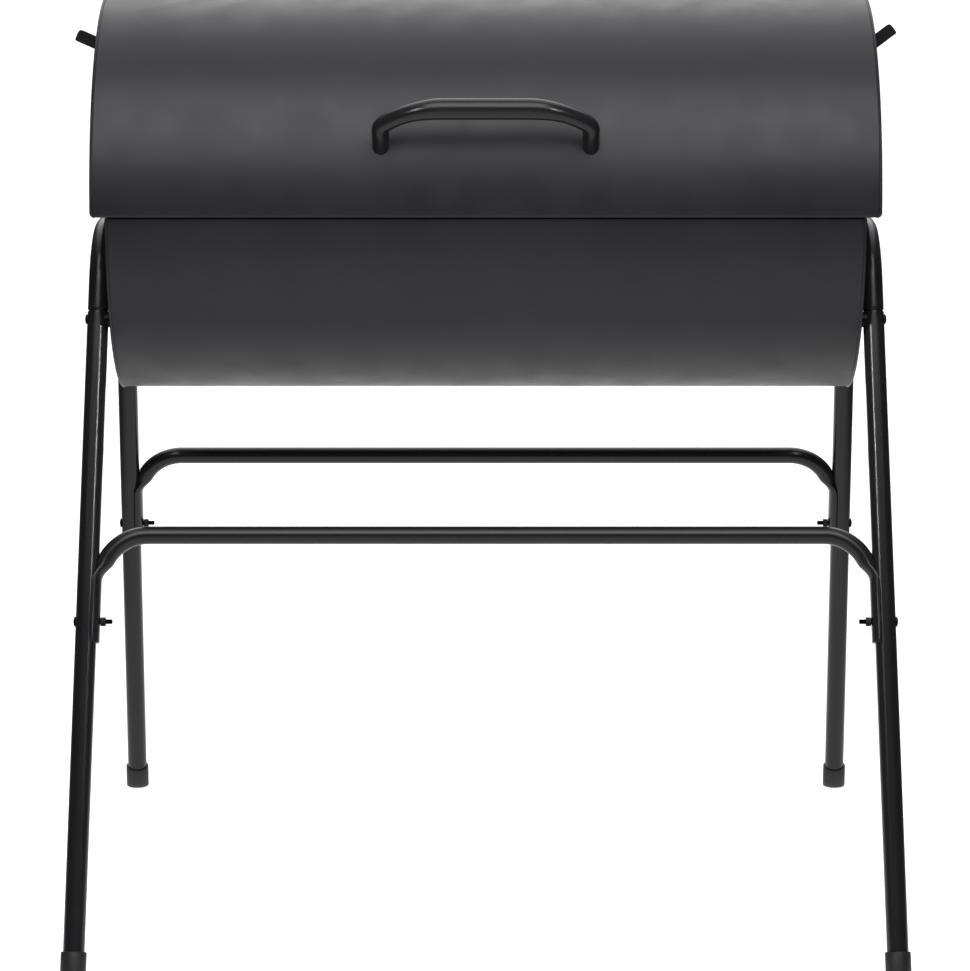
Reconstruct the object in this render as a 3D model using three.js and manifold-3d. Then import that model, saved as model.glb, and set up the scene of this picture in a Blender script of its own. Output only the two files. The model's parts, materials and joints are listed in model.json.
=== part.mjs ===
// A barrel charcoal barbecue: a half-round lid hinged on a half-round fire bowl,
// carried by two A-shaped tube frames that two bent crossbars tie together.
// Millimetres, +Z up, +X along the barrel, the front of the barbecue towards -Y.
import * as THREE from 'three';
import { mergeVertices } from 'three/addons/utils/BufferGeometryUtils.js';
import Module from 'manifold-3d';

const wasm = await Module();
wasm.setup();

// ---- Driving sizes ----------------------------------------------------------

const FIT_GAP = 0.3; // air between pieces that touch or slide
const SHEET = 1; // steel sheet of the bowl and the lid

// Barrel
const AXIS_HEIGHT = 721; // barrel axis, and the split between bowl and lid
const BOWL_LENGTH = 742;
const BOWL_RADIUS = 196.5;
const LID_LAP = 6; // the lid's radius beyond the bowl's
const LID_OVERHANG = 14; // the lid's length beyond the bowl's, at each end
const LID_HEM = 10; // inward fold along the lid's long edges
const BOWL_HEM = 8; // inward fold along the bowl's long edges
const SEAM_WIDTH = 2.5; // rolled seam where an end joins its shell
const SEAM_PROUD = 1;
const END_FLANGE = 13; // depth of an end's flange inside its shell
const LID_CORNER = 5; // rounding of the lid's lower corners
const BOWL_CORNER = 2;
const LID_FOLD = 3; // rounding where a long edge folds inwards
const BOWL_FOLD = 2;

// Stand
const LEG_OD = 21;
const TUBE_WALL = 1.2;
const FRAME_GAP = 2.5; // from the bowl's end to the leg tube
const JOINT_DROP = 108; // joint bolts below the barrel axis
const JOINT_DEPTH = 145; // joint bolts in front of and behind the axis
const FOOT_DEPTH = 350; // feet in front of and behind the axis
const FOOT_SPLAY = 13.7; // the feet stand wider than the joints by this, each side
const LEG_TOP_MARGIN = 7; // leg tube above its joint bolt
const ARCH_SOCKET = 55; // arch's necked end inside the leg tube, below the leg's top
const ARCH_SHOULDER = 3; // from the neck to the arch's full size
const ARCH_DROP = 26; // top of the arch's centreline below the barrel axis
const ARCH_BEND = 68;
const FOOT_WALL = 1.7;
const FOOT_HEIGHT = 26;
const FOOT_SOLE = 8; // axis height of the foot's inside floor

// Crossbars
const BAR_OD = 17.5;
const BAR_HEIGHT = 409;
const BAR_BEND = 46;
const BAR_TAIL = 60; // pressed end that lies along the leg
const BAR_BOLT = 39; // bolt below the start of the pressed end
const PRESS_START = 0.5; // share of the bend after which the end is pressed
const PRESS_SLIT = 0.5; // what is left of the bore in the pressed end

// Fasteners
const BOLT_RADIUS = 2.5;
const BOLT_HEAD_RADIUS = 5;
const BOLT_HEAD_HEIGHT = 2.2;
const NUT_RADIUS = 4.6;
const NUT_HEIGHT = 5;
const JOINT_THREAD = 3; // thread past the joint nut
const BAR_THREAD = 6.5; // thread past the crossbar nut
const SPACER_RADIUS = 8;

// Lid handle
const HANDLE_OD = 17; // of the posts
const GRIP_OD = 21; // the tube is wider where it is held
const HANDLE_SPACING = 204; // centre to centre of the posts
const HANDLE_SEAT = 20; // degrees up the lid from its front edge
const HANDLE_TILT = 45; // degrees above level
const HANDLE_POST = 30; // from the lid to the elbow at a post's end
const HANDLE_REACH = 56; // from the lid to the grip's centreline
const HANDLE_SLOPE = 41; // degrees between an arm, from elbow to grip, and the grip
const ELBOW_BEND = 16;
const GRIP_BEND = 84;
const HANDLE_PLUG = 16; // solid plug in each post
const SCREW_RADIUS = 2.5;
const SCREW_HEAD_RADIUS = 5.5;
const SCREW_HEAD_DEPTH = 8;

// Air dampers on the lid's ends
const DAMPER_RISE = 95; // centre above the barrel axis
const DAMPER_RADIUS = 52;
const DAMPER_SHEET = 1.5;
const VENT_COUNT = 3;
const VENT_RADIUS = 13;
const VENT_CIRCLE = 30;
const TAB_WIDTH = 12.6;
const TAB_REACH = 33; // beyond the lid's end
const TAB_ROOT = 9; // straight part before the tab leans up
const TAB_LEAN = { left: 24, right: 37 }; // degrees: each tab is bent by hand
const RIVET_RADIUS = 3;
const RIVET_HEAD_RADIUS = 7;
const RIVET_HEAD_HEIGHT = 2.5;

// Hinges
const HINGE_OFFSET = 230; // hinge centres from the middle
const HINGE_WIDTH = 50;
const HINGE_LEAF = 40; // height of a leaf on its shell
const HINGE_SHEET = 1.5;
const HINGE_DROP = 5; // pin below the lid's edge
const KNUCKLE_RADIUS = 5;
const PIN_RADIUS = 3;
const PIN_HEAD_RADIUS = 4.5;
const PIN_HEAD_HEIGHT = 2;
const MIDDLE_KNUCKLE = 18;

// Cooking grids and charcoal grate
const RAIL_DROP = 21; // rail ledge below the barrel axis
const RAIL_LEDGE = 15;
const RAIL_LEG = 12;
const RAIL_INSET = 2; // rail end from the flange of the bowl's end
const GRID_CLEARANCE = 2.5; // grid to the bowl's end folds, and between grids
const GRID_SIDE_GAP = 10.5; // grid edge to the bowl's wall
const GRID_WIRE = 5;
const GRID_ROD = 4;
const GRID_PITCH = 18;
const GRID_CORNER = 12;
const GRATE_DROP = 120; // charcoal grate's centreline below the barrel axis
const GRATE_WIRE = 6;
const GRATE_PITCH = 30;
const GRATE_CROSS_RODS = 4;

// Facets
const ARC_STEPS = 36; // around half a barrel
const TUBE_SIDES = 16;
const ROD_SIDES = 4;
const BEND_STEPS = 4;
const WIRE_BEND_STEPS = 3;
const FASTENER_SIDES = 12;
const HOLE_SIDES = 8;
const WIRE_SIDES = 6;

// ---- Sizes that follow --------------------------------------------------------

const LID_RADIUS = BOWL_RADIUS + LID_LAP;
const BOWL_END = BOWL_LENGTH / 2;
const LID_END = BOWL_END + LID_OVERHANG;
const LEG_RADIUS = LEG_OD / 2;
const NECK_RADIUS = LEG_RADIUS - TUBE_WALL - FIT_GAP;
const JOINT_X = BOWL_END + FRAME_GAP + LEG_RADIUS;
const JOINT_HEIGHT = AXIS_HEIGHT - JOINT_DROP;
const BAR_RADIUS = BAR_OD / 2;
const BOLT_HOLE = BOLT_RADIUS + FIT_GAP;
const HINGE_Y = LID_RADIUS + FIT_GAP + HINGE_SHEET + KNUCKLE_RADIUS - 0.5;

const X = new THREE.Vector3(1, 0, 0);
const Y = new THREE.Vector3(0, 1, 0);
const Z = new THREE.Vector3(0, 0, 1);
const degrees = THREE.MathUtils.degToRad;

// ---- Solids ---------------------------------------------------------------------

/** Closed solid from a three.js geometry, with its faces turned outwards. */
function solid(geometry) {
  const bare = geometry.clone();
  bare.deleteAttribute('normal');
  bare.deleteAttribute('uv');
  const merged = mergeVertices(bare, 1e-4);
  const points = merged.attributes.position;
  const triangles = [];
  let volume = 0;
  const [a, b, c] = [new THREE.Vector3(), new THREE.Vector3(), new THREE.Vector3()];
  for (let i = 0; i < merged.index.count; i += 3) {
    const [p, q, r] = merged.index.array.slice(i, i + 3);
    if (p === q || q === r || r === p) continue;
    triangles.push([p, q, r]);
    a.fromBufferAttribute(points, p);
    b.fromBufferAttribute(points, q);
    c.fromBufferAttribute(points, r);
    volume += a.dot(b.cross(c));
  }
  const facing = volume < 0 ? triangles.map(([p, q, r]) => [p, r, q]) : triangles;
  return new wasm.Manifold(new wasm.Mesh({
    numProp: 3,
    vertProperties: new Float32Array(points.array),
    triVerts: new Uint32Array(facing.flat()),
  }));
}

/** Adds a named mesh, in its own material, to a group. */
function piece(parent, name, shape, finish) {
  const made = shape.getMesh();
  const geometry = new THREE.BufferGeometry();
  geometry.setAttribute('position', new THREE.BufferAttribute(made.vertProperties, 3));
  geometry.setIndex(new THREE.BufferAttribute(made.triVerts, 1));
  const faceted = geometry.toNonIndexed();
  faceted.computeVertexNormals();
  const mesh = new THREE.Mesh(faceted, new THREE.MeshStandardMaterial(finish));
  mesh.name = name;
  parent.add(mesh);
  return mesh;
}

/** Points on an arc, from one angle to another in degrees. */
function arc(x, y, radius, from, to, steps) {
  const points = [];
  for (let i = 0; i <= steps; i += 1) {
    const angle = degrees(from + (to - from) * i / steps);
    points.push(new THREE.Vector2(x + radius * Math.cos(angle), y + radius * Math.sin(angle)));
  }
  return points;
}

const point = (x, y) => new THREE.Vector2(x, y);

/** Extrudes an outline drawn in (Y, Z) from x0 to x1. */
function alongX(outline, x0, x1) {
  const shape = new THREE.Shape(outline);
  const geometry = new THREE.ExtrudeGeometry(shape, { depth: x1 - x0, bevelEnabled: false });
  geometry.applyMatrix4(new THREE.Matrix4().makeBasis(Y, Z, X));
  return solid(geometry.translate(x0, 0, 0));
}

/** Extrudes an outline drawn in (X, Z) from y0 to y1. */
function alongY(outline, y0, y1) {
  const shape = new THREE.Shape(outline);
  const geometry = new THREE.ExtrudeGeometry(shape, { depth: y1 - y0, bevelEnabled: false });
  geometry.applyMatrix4(new THREE.Matrix4().makeBasis(X, Z, Y.clone().negate()));
  return solid(geometry.translate(0, y1, 0));
}

function box(x0, x1, y0, y1, z0, z1) {
  const geometry = new THREE.BoxGeometry(Math.abs(x1 - x0), y1 - y0, z1 - z0);
  return solid(geometry.translate((x0 + x1) / 2, (y0 + y1) / 2, (z0 + z1) / 2));
}

/** Cylinder between two points. */
function rod(from, to, radius, sides = TUBE_SIDES) {
  const length = from.distanceTo(to);
  const geometry = new THREE.CylinderGeometry(radius, radius, length, sides);
  const turn = new THREE.Quaternion().setFromUnitVectors(Y, to.clone().sub(from).normalize());
  geometry.applyQuaternion(turn);
  const middle = from.clone().add(to).multiplyScalar(0.5);
  return solid(geometry.translate(middle.x, middle.y, middle.z));
}

/** Cylinder along X through (y, z). */
function rodX(x0, x1, y, z, radius, sides = TUBE_SIDES) {
  return rod(new THREE.Vector3(x0, y, z), new THREE.Vector3(x1, y, z), radius, sides);
}

/** Turns a (distance along, radius) profile about the X direction, through (y, z). */
function turnedX(profile, x, y, z, side, steps = FASTENER_SIDES) {
  const outline = profile.map(([along, radius]) => point(radius, along));
  const geometry = new THREE.LatheGeometry(outline, steps);
  geometry.applyMatrix4(new THREE.Matrix4().makeBasis(Z, X.clone().multiplyScalar(side), Y));
  return solid(geometry.translate(x, y, z));
}

/** Half ring about the barrel axis, above (+1) or below (-1) the split. */
function halfRing(inner, outer, x0, x1, sign) {
  const steps = ARC_STEPS;
  const rim = arc(0, 0, outer, 0, sign * 180, steps);
  const hole = arc(0, 0, inner, sign * 180, 0, steps);
  return alongX([...rim, ...hole], Math.min(x0, x1), Math.max(x0, x1));
}

/** Stations along a polyline whose corners are rounded, all to one radius or each to its own. */
function bentPath(corners, bends, steps = BEND_STEPS) {
  const stations = [];
  const first = corners[1].clone().sub(corners[0]).normalize();
  stations.push({ at: corners[0], along: first, turned: 0 });
  for (let i = 1; i < corners.length - 1; i += 1) {
    const into = corners[i].clone().sub(corners[i - 1]).normalize();
    const out = corners[i + 1].clone().sub(corners[i]).normalize();
    const angle = into.angleTo(out);
    const bend = Array.isArray(bends) ? bends[i - 1] : bends;
    const reach = bend * Math.tan(angle / 2);
    const start = corners[i].clone().addScaledVector(into, -reach);
    const inward = out.clone().addScaledVector(into, -out.dot(into)).normalize();
    const centre = start.clone().addScaledVector(inward, bend);
    for (let k = 0; k <= steps; k += 1) {
      const turn = angle * k / steps;
      const at = centre.clone();
      at.addScaledVector(inward, -bend * Math.cos(turn));
      at.addScaledVector(into, bend * Math.sin(turn));
      const along = into.clone().multiplyScalar(Math.cos(turn));
      along.addScaledVector(inward, Math.sin(turn));
      stations.push({ at, along, turned: k / steps });
    }
  }
  const last = corners.length - 1;
  const end = corners[last].clone().sub(corners[last - 1]).normalize();
  stations.push({ at: corners[last], along: end, turned: 1 });
  return stations;
}

/**
 * Sweeps an outline along stations that lie in one plane. The outline's first
 * coordinate is in that plane, its second along the plane's normal. A closed
 * sweep joins its last station to its first.
 */
function sweep(stations, planeNormal, outlineAt, closed = false) {
  const positions = [];
  const index = [];
  let count = 0;
  stations.forEach((station, row) => {
    const across = new THREE.Vector3().crossVectors(planeNormal, station.along).normalize();
    const outline = outlineAt(station, row);
    count = outline.length;
    for (const [u, w] of outline) {
      const at = station.at.clone().addScaledVector(across, u).addScaledVector(planeNormal, w);
      positions.push(at.x, at.y, at.z);
    }
  });
  const rows = stations.length;
  for (let row = 0; row < (closed ? rows : rows - 1); row += 1) {
    for (let k = 0; k < count; k += 1) {
      const [a, b] = [k, (k + 1) % count].map((corner) => row * count + corner);
      const [c, d] = [k, (k + 1) % count].map((corner) => ((row + 1) % rows) * count + corner);
      index.push(a, b, d, a, d, c);
    }
  }
  for (const row of closed ? [] : [0, rows - 1]) {
    const outline = outlineAt(stations[row], row).map(([u, w]) => point(u, w));
    for (const [a, b, c] of THREE.ShapeUtils.triangulateShape(outline, [])) {
      const corners = row === 0 ? [a, c, b] : [a, b, c];
      index.push(...corners.map((corner) => row * count + corner));
    }
  }
  const geometry = new THREE.BufferGeometry();
  geometry.setAttribute('position', new THREE.Float32BufferAttribute(positions, 3));
  geometry.setIndex(index);
  return solid(geometry);
}

/** Round outline for a swept tube. */
function round(radius, sides = TUBE_SIDES) {
  const outline = [];
  for (let k = 0; k < sides; k += 1) {
    const angle = 2 * Math.PI * k / sides;
    outline.push([radius * Math.cos(angle), radius * Math.sin(angle)]);
  }
  return outline;
}

// ---- Finishes ---------------------------------------------------------------------

const BARREL_PAINT = { color: '#3b3b40', roughness: 0.5, metalness: 0.2 };
const TUBE_PAINT = { color: '#1f1f21', roughness: 0.35, metalness: 0.2 };
const FOOT_PLASTIC = { color: '#232325', roughness: 0.8, metalness: 0 };
const BLACK_STEEL = { color: '#1b1b1d', roughness: 0.45, metalness: 0.6 };
const WIRE_CHROME = { color: '#c9ccd0', roughness: 0.2, metalness: 1 };

const barbecue = new THREE.Group();
const stand = new THREE.Group();
const barrel = new THREE.Group(); // drawn about the barrel axis
barrel.position.z = AXIS_HEIGHT;
const bowl = new THREE.Group();
const lid = new THREE.Group();
barrel.add(bowl, lid);
barbecue.add(stand, barrel);

const SIDES = [['left', -1], ['right', 1]];
const DEPTHS = [['front', -1], ['back', 1]];

// ---- Leg frames ---------------------------------------------------------------------

/** Point on a leg's centreline at a height above the floor. */
function onLeg(side, depth, height) {
  const up = height / JOINT_HEIGHT;
  const x = JOINT_X + FOOT_SPLAY * (1 - up);
  const y = FOOT_DEPTH + (JOINT_DEPTH - FOOT_DEPTH) * up;
  return new THREE.Vector3(side * x, depth * y, height);
}

/** Unit vector down a leg. */
function downLeg(side, depth) {
  return onLeg(side, depth, 0).sub(onLeg(side, depth, JOINT_HEIGHT)).normalize();
}

/** Cylinder about a leg's centreline, long enough to cut with. */
function aroundLeg(side, depth, radius, low, high) {
  return rod(onLeg(side, depth, low), onLeg(side, depth, high), radius);
}

const legDrop = Math.abs(downLeg(1, 1).z); // fall per millimetre of leg
const legTop = JOINT_HEIGHT + LEG_TOP_MARGIN;
const legFloor = FOOT_SOLE + FIT_GAP;
const legBore = LEG_RADIUS - TUBE_WALL;

function boltHole(x, y, z, length = 60) {
  return rodX(x - length / 2, x + length / 2, y, z, BOLT_HOLE, HOLE_SIDES);
}

const barBoltHeight = BAR_HEIGHT - (BAR_BEND + BAR_BOLT) * legDrop;

/** A swept tube's stations, with both ends necked down to slip into the legs. */
function withNecks(stations) {
  const last = stations.length - 1;
  const ends = [[stations[0], 1], [stations[last], -1]].map(([station, inward]) => (
    [[0, NECK_RADIUS], [ARCH_SOCKET, NECK_RADIUS], [ARCH_SOCKET + ARCH_SHOULDER, LEG_RADIUS]]
      .map(([distance, radius]) => {
        const at = station.at.clone().addScaledVector(station.along, inward * distance);
        return { ...station, at, radius };
      })
  ));
  const between = stations.slice(1, last).map((station) => ({ ...station, radius: LEG_RADIUS }));
  return [...ends[0], ...between, ...ends[1].reverse()];
}

/** The same stations, run a little past both ends, to cut a bore with. */
function longer(stations) {
  const last = stations.length - 1;
  return stations.map((station, row) => {
    const past = row === 0 ? -2 : 2;
    const at = station.at.clone();
    if (row === 0 || row === last) at.addScaledVector(station.along, past);
    return { ...station, at };
  });
}

for (const [sideName, side] of SIDES) {
  for (const [depthName, depth] of DEPTHS) {
    const joint = onLeg(side, depth, JOINT_HEIGHT);
    const barBolt = onLeg(side, depth, barBoltHeight);
    const leg = aroundLeg(side, depth, LEG_RADIUS, legFloor, legTop)
      .subtract(aroundLeg(side, depth, legBore, legFloor - 5, legTop + 5))
      .subtract(boltHole(joint.x, joint.y, joint.z))
      .subtract(boltHole(barBolt.x, barBolt.y, barBolt.z));
    piece(stand, `leg_${depthName}_${sideName}`, leg, TUBE_PAINT);

    const footRadius = LEG_RADIUS + FIT_GAP + FOOT_WALL;
    const foot = aroundLeg(side, depth, footRadius, -20, FOOT_HEIGHT)
      .subtract(aroundLeg(side, depth, LEG_RADIUS + FIT_GAP, FOOT_SOLE, FOOT_HEIGHT + 20))
      .intersect(box(-1000, 1000, -1000, 1000, 0, 100));
    piece(stand, `foot_${depthName}_${sideName}`, foot, FOOT_PLASTIC);
  }

  // The arch: an upturned U of the same tube, necked where its ends slip into the legs
  const archTop = AXIS_HEIGHT - ARCH_DROP;
  const archEnd = legTop - ARCH_SOCKET * legDrop;
  const corners = [
    onLeg(side, -1, archEnd),
    onLeg(side, -1, archTop),
    onLeg(side, 1, archTop),
    onLeg(side, 1, archEnd),
  ];
  const archPlane = downLeg(side, 1).cross(Y).normalize();
  const stations = withNecks(bentPath(corners, ARCH_BEND));
  let arch = sweep(stations, archPlane, (station) => round(station.radius))
    .subtract(sweep(longer(stations), archPlane, (station) => round(station.radius - TUBE_WALL)));
  for (const [, depth] of DEPTHS) {
    const joint = onLeg(side, depth, JOINT_HEIGHT);
    arch = arch.subtract(boltHole(joint.x, joint.y, joint.z));
  }
  piece(stand, `arch_${sideName}`, arch, TUBE_PAINT);
}

// ---- Crossbars ----------------------------------------------------------------------
// A tube bent down at both ends. Each end is pressed flat around the leg: its
// section goes from round to a crescent as wide as half the tube's girth.

const pressThickness = 2 * TUBE_WALL + PRESS_SLIT;
const pressInner = LEG_RADIUS + FIT_GAP;
const pressMiddle = pressInner + pressThickness / 2;
const pressHalfAngle = Math.PI * BAR_RADIUS / 2 / pressMiddle;

/** Section between round (0) and pressed (1), with a wall's thickness taken off. */
function barSection(pressed, wall) {
  const flat = 1 - wall / (Math.PI * BAR_RADIUS / 2);
  return round(BAR_RADIUS - wall).map(([u, w], k) => {
    const turn = 2 * k / TUBE_SIDES; // 0 to 2 around the section
    const outside = turn <= 0.5 || turn > 1.5;
    const spread = turn > 1.5 ? turn - 2 : turn;
    const angle = pressHalfAngle * flat * (outside ? 2 * spread : 2 * (1 - turn));
    const offset = outside ? pressThickness / 2 - wall : wall - pressThickness / 2;
    const radius = pressMiddle + offset;
    const crescent = [radius * Math.cos(angle) - pressMiddle, radius * Math.sin(angle)];
    return [u + (crescent[0] - u) * pressed, w + (crescent[1] - w) * pressed];
  });
}

for (const [depthName, depth] of DEPTHS) {
  const tailEnd = (BAR_BEND + BAR_TAIL) * legDrop;
  const corners = [];
  for (const [, side] of SIDES) {
    const inward = new THREE.Vector3(-side * pressMiddle, 0, 0);
    const corner = onLeg(side, depth, BAR_HEIGHT).add(inward);
    const tail = onLeg(side, depth, BAR_HEIGHT - tailEnd).add(inward);
    if (side < 0) corners.push(tail, corner);
    else corners.push(corner, tail);
  }
  // Both bends lie in the plane of X and the legs' slope
  const slope = new THREE.Vector3(0, downLeg(1, depth).y, downLeg(1, depth).z).normalize();
  const plane = X.clone().cross(slope).normalize();
  const stations = bentPath(corners, BAR_BEND);
  const pressedAt = (station, row) => {
    const turned = row < stations.length / 2 ? 1 - station.turned : station.turned;
    return THREE.MathUtils.smoothstep(turned, PRESS_START, 1);
  };
  const section = (wall) => (station, row) => barSection(pressedAt(station, row), wall);
  let bar = sweep(stations, plane, section(0))
    .subtract(sweep(longer(stations), plane, section(TUBE_WALL)));
  for (const [, side] of SIDES) {
    const bolt = onLeg(side, depth, barBoltHeight);
    bar = bar
      .subtract(aroundLeg(side, depth, pressInner, barBoltHeight - 80, BAR_HEIGHT + 40))
      .subtract(boltHole(bolt.x, bolt.y, bolt.z));
  }
  piece(stand, `crossbar_${depthName}`, bar, TUBE_PAINT);
}

// ---- Bolts through the legs ---------------------------------------------------------

/** Domed bolt along X whose head sits on the outside of a leg, with its tip at tipX. */
function legBolt(side, depth, height, tipX) {
  const at = onLeg(side, depth, height);
  const crown = LEG_RADIUS + BOLT_HEAD_HEIGHT;
  const head = turnedX([
    [0, 0],
    [0, BOLT_HEAD_RADIUS],
    [crown - 1.4, BOLT_HEAD_RADIUS],
    [crown - 0.4, 0.65 * BOLT_HEAD_RADIUS],
    [crown, 0],
  ], at.x, at.y, at.z, side);
  const shank = rodX(at.x + side * (crown - 1), tipX, at.y, at.z, BOLT_RADIUS, HOLE_SIDES);
  return head
    .subtract(aroundLeg(side, depth, LEG_RADIUS + FIT_GAP, height - 40, height + 40))
    .add(shank);
}

/** Hexagon nut, or a round spacer, along X from x0 to x1. */
function ringX(x0, x1, y, z, radius, sides = FASTENER_SIDES) {
  const inside = rodX(Math.min(x0, x1) - 1, Math.max(x0, x1) + 1, y, z, BOLT_HOLE, HOLE_SIDES);
  return rodX(x0, x1, y, z, radius, sides).subtract(inside);
}

for (const [sideName, side] of SIDES) {
  for (const [depthName, depth] of DEPTHS) {
    const joint = onLeg(side, depth, JOINT_HEIGHT);
    const outside = side * (BOWL_END + FIT_GAP);
    const inside = side * (BOWL_END - SHEET - FIT_GAP);
    const nutEnd = inside - side * NUT_HEIGHT;
    const jointBolt = legBolt(side, depth, JOINT_HEIGHT, nutEnd - side * JOINT_THREAD);
    const spacer = ringX(outside, joint.x, joint.y, joint.z, SPACER_RADIUS)
      .subtract(aroundLeg(side, depth, LEG_RADIUS + FIT_GAP, JOINT_HEIGHT - 40, JOINT_HEIGHT + 40));
    const jointNut = ringX(inside, nutEnd, joint.y, joint.z, NUT_RADIUS, 6);
    piece(stand, `joint_bolt_${depthName}_${sideName}`, jointBolt, BLACK_STEEL);
    piece(stand, `joint_spacer_${depthName}_${sideName}`, spacer, BLACK_STEEL);
    piece(stand, `joint_nut_${depthName}_${sideName}`, jointNut, BLACK_STEEL);

    const barBolt = onLeg(side, depth, barBoltHeight);
    const seat = barBolt.x - side * (pressInner + pressThickness + FIT_GAP);
    const barNutEnd = seat - side * NUT_HEIGHT;
    const crossBolt = legBolt(side, depth, barBoltHeight, barNutEnd - side * BAR_THREAD);
    const crossNut = ringX(seat, barNutEnd, barBolt.y, barBolt.z, NUT_RADIUS, 6);
    piece(stand, `bar_bolt_${depthName}_${sideName}`, crossBolt, BLACK_STEEL);
    piece(stand, `bar_nut_${depthName}_${sideName}`, crossNut, BLACK_STEEL);
  }
}

// ---- Bowl and lid shells -------------------------------------------------------------
// Each is a half-round sheet whose long edges fold inwards. The lid's fold rests
// on the bowl's, all the way along.

/** Half-round sheet with folded edges, above (+1) or below (-1) the split. */
function shellOutline(radius, hem, corner, sign) {
  const inner = radius - SHEET;
  const edge = THREE.MathUtils.radToDeg(Math.asin(corner / radius));
  const upper = [
    point(radius - hem, 0),
    ...arc(radius - corner, corner, corner, -90, 0, 3),
    ...arc(0, 0, radius, edge, 180 - edge, ARC_STEPS).slice(1, -1),
    ...arc(corner - radius, corner, corner, 180, 270, 3),
    point(hem - radius, 0),
    point(hem - radius, SHEET),
    ...arc(corner - radius, corner, corner - SHEET, 270, 180, 3),
    ...arc(0, 0, inner, 180 - edge, edge, ARC_STEPS).slice(1, -1),
    ...arc(radius - corner, corner, corner - SHEET, 0, -90, 3),
    point(radius - hem, SHEET),
  ];
  return upper.map((at) => point(at.x, sign * at.y));
}

const seatAngle = degrees(HANDLE_SEAT);
const postAlong = new THREE.Vector3(0, -Math.cos(degrees(HANDLE_TILT)), Math.sin(degrees(HANDLE_TILT)));

/** Point on a handle post's axis, from where it meets the lid towards the grip. */
function onPost(side, along) {
  const seat = new THREE.Vector3(
    side * HANDLE_SPACING / 2,
    -LID_RADIUS * Math.cos(seatAngle),
    LID_RADIUS * Math.sin(seatAngle),
  );
  return seat.addScaledVector(postAlong, along);
}

const lidSeam = LID_END - SEAM_WIDTH;
let lidShell = alongX(shellOutline(LID_RADIUS, LID_HEM, LID_FOLD, 1), FIT_GAP - lidSeam, lidSeam - FIT_GAP);
for (const [, side] of SIDES) {
  const hole = rod(onPost(side, -20), onPost(side, 20), SCREW_RADIUS + FIT_GAP, HOLE_SIDES);
  lidShell = lidShell.subtract(hole);
}
piece(lid, 'lid_shell', lidShell, BARREL_PAINT);

const bowlSeam = BOWL_END - SEAM_WIDTH;
const bowlOutline = shellOutline(BOWL_RADIUS, BOWL_HEM, BOWL_FOLD, -1);
const bowlShell = alongX(bowlOutline, FIT_GAP - bowlSeam, bowlSeam - FIT_GAP).translate([0, 0, -FIT_GAP]);
piece(bowl, 'bowl_shell', bowlShell, BARREL_PAINT);

/** Sheet that stands at x = end and folds inwards along the split. */
function endOutline(end, hem, corner, height) {
  return [
    point(end - hem, 0),
    ...arc(end - corner, corner, corner, -90, 0, 4),
    point(end, height),
    point(end - SHEET, height),
    ...arc(end - corner, corner, corner - SHEET, 0, -90, 4),
    point(end - hem, SHEET),
  ];
}

/**
 * Half-round end: a sheet with a flange inside the shell, a rolled seam around
 * its edge and a fold along the split. Made for +X, above the split.
 */
function barrelEnd(radius, end, hem, hemWidth, corner) {
  const inside = radius - SHEET - FIT_GAP;
  const seam = end - SEAM_WIDTH;
  const foldEdge = radius - hem - FIT_GAP;
  const above = box(end - 60, end + 10, -2 * radius, 2 * radius, corner + SHEET, 2 * radius);
  const face = alongY(endOutline(end, hemWidth, corner, 1.2 * radius), -1.2 * radius, 1.2 * radius)
    .intersect(rodX(end - 60, end + 10, 0, 0, inside, 2 * ARC_STEPS));
  const besideFold = [-1, 1].map((sign) => {
    const [near, far] = [sign * foldEdge, sign * 1.2 * radius].sort((a, b) => a - b);
    return box(end - 60, seam, near, far, -1, corner + SHEET);
  });
  const flange = halfRing(inside - SHEET, inside, end - END_FLANGE, end - SHEET / 2, 1).intersect(above);
  const bead = radius + SEAM_PROUD;
  const seamProfile = [
    [0, inside - SHEET],
    [0, bead],
    [SEAM_WIDTH, bead],
    [SEAM_WIDTH, inside - SHEET],
    [0, inside - SHEET],
  ];
  const corners = [
    point(seam - 1, 0),
    ...arc(end - corner, corner, corner, -60, 0, 3),
    point(end, 1.2 * radius),
    point(seam - 1, 1.2 * radius),
  ];
  const rolled = turnedX(seamProfile, seam, 0, 0, 1, 2 * ARC_STEPS)
    .intersect(alongY(corners, -1.2 * radius, 1.2 * radius));
  return face.subtract(besideFold[0]).subtract(besideFold[1]).add(flange).add(rolled);
}

const lidHemWidth = LID_OVERHANG + 2;
const bowlHemWidth = BOWL_CORNER + LID_HEM;
const ventAngles = (start) => Array.from({ length: VENT_COUNT }, (_, i) => start + 360 * i / VENT_COUNT);

/** Cuts the damper's vents and its rivet hole through whatever lies between x0 and x1. */
function cutVents(shape, x0, x1, z, start) {
  let cut = shape.subtract(rodX(x0, x1, 0, z, RIVET_RADIUS + FIT_GAP, HOLE_SIDES));
  for (const angle of ventAngles(start)) {
    const y = VENT_CIRCLE * Math.sin(degrees(angle));
    const up = VENT_CIRCLE * Math.cos(degrees(angle));
    cut = cut.subtract(rodX(x0, x1, y, z + up, VENT_RADIUS, FASTENER_SIDES));
  }
  return cut;
}

/** Puts a solid made for the right end on either end. */
function onSide(shape, side) {
  return side > 0 ? shape : shape.mirror([1, 0, 0]);
}

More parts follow.
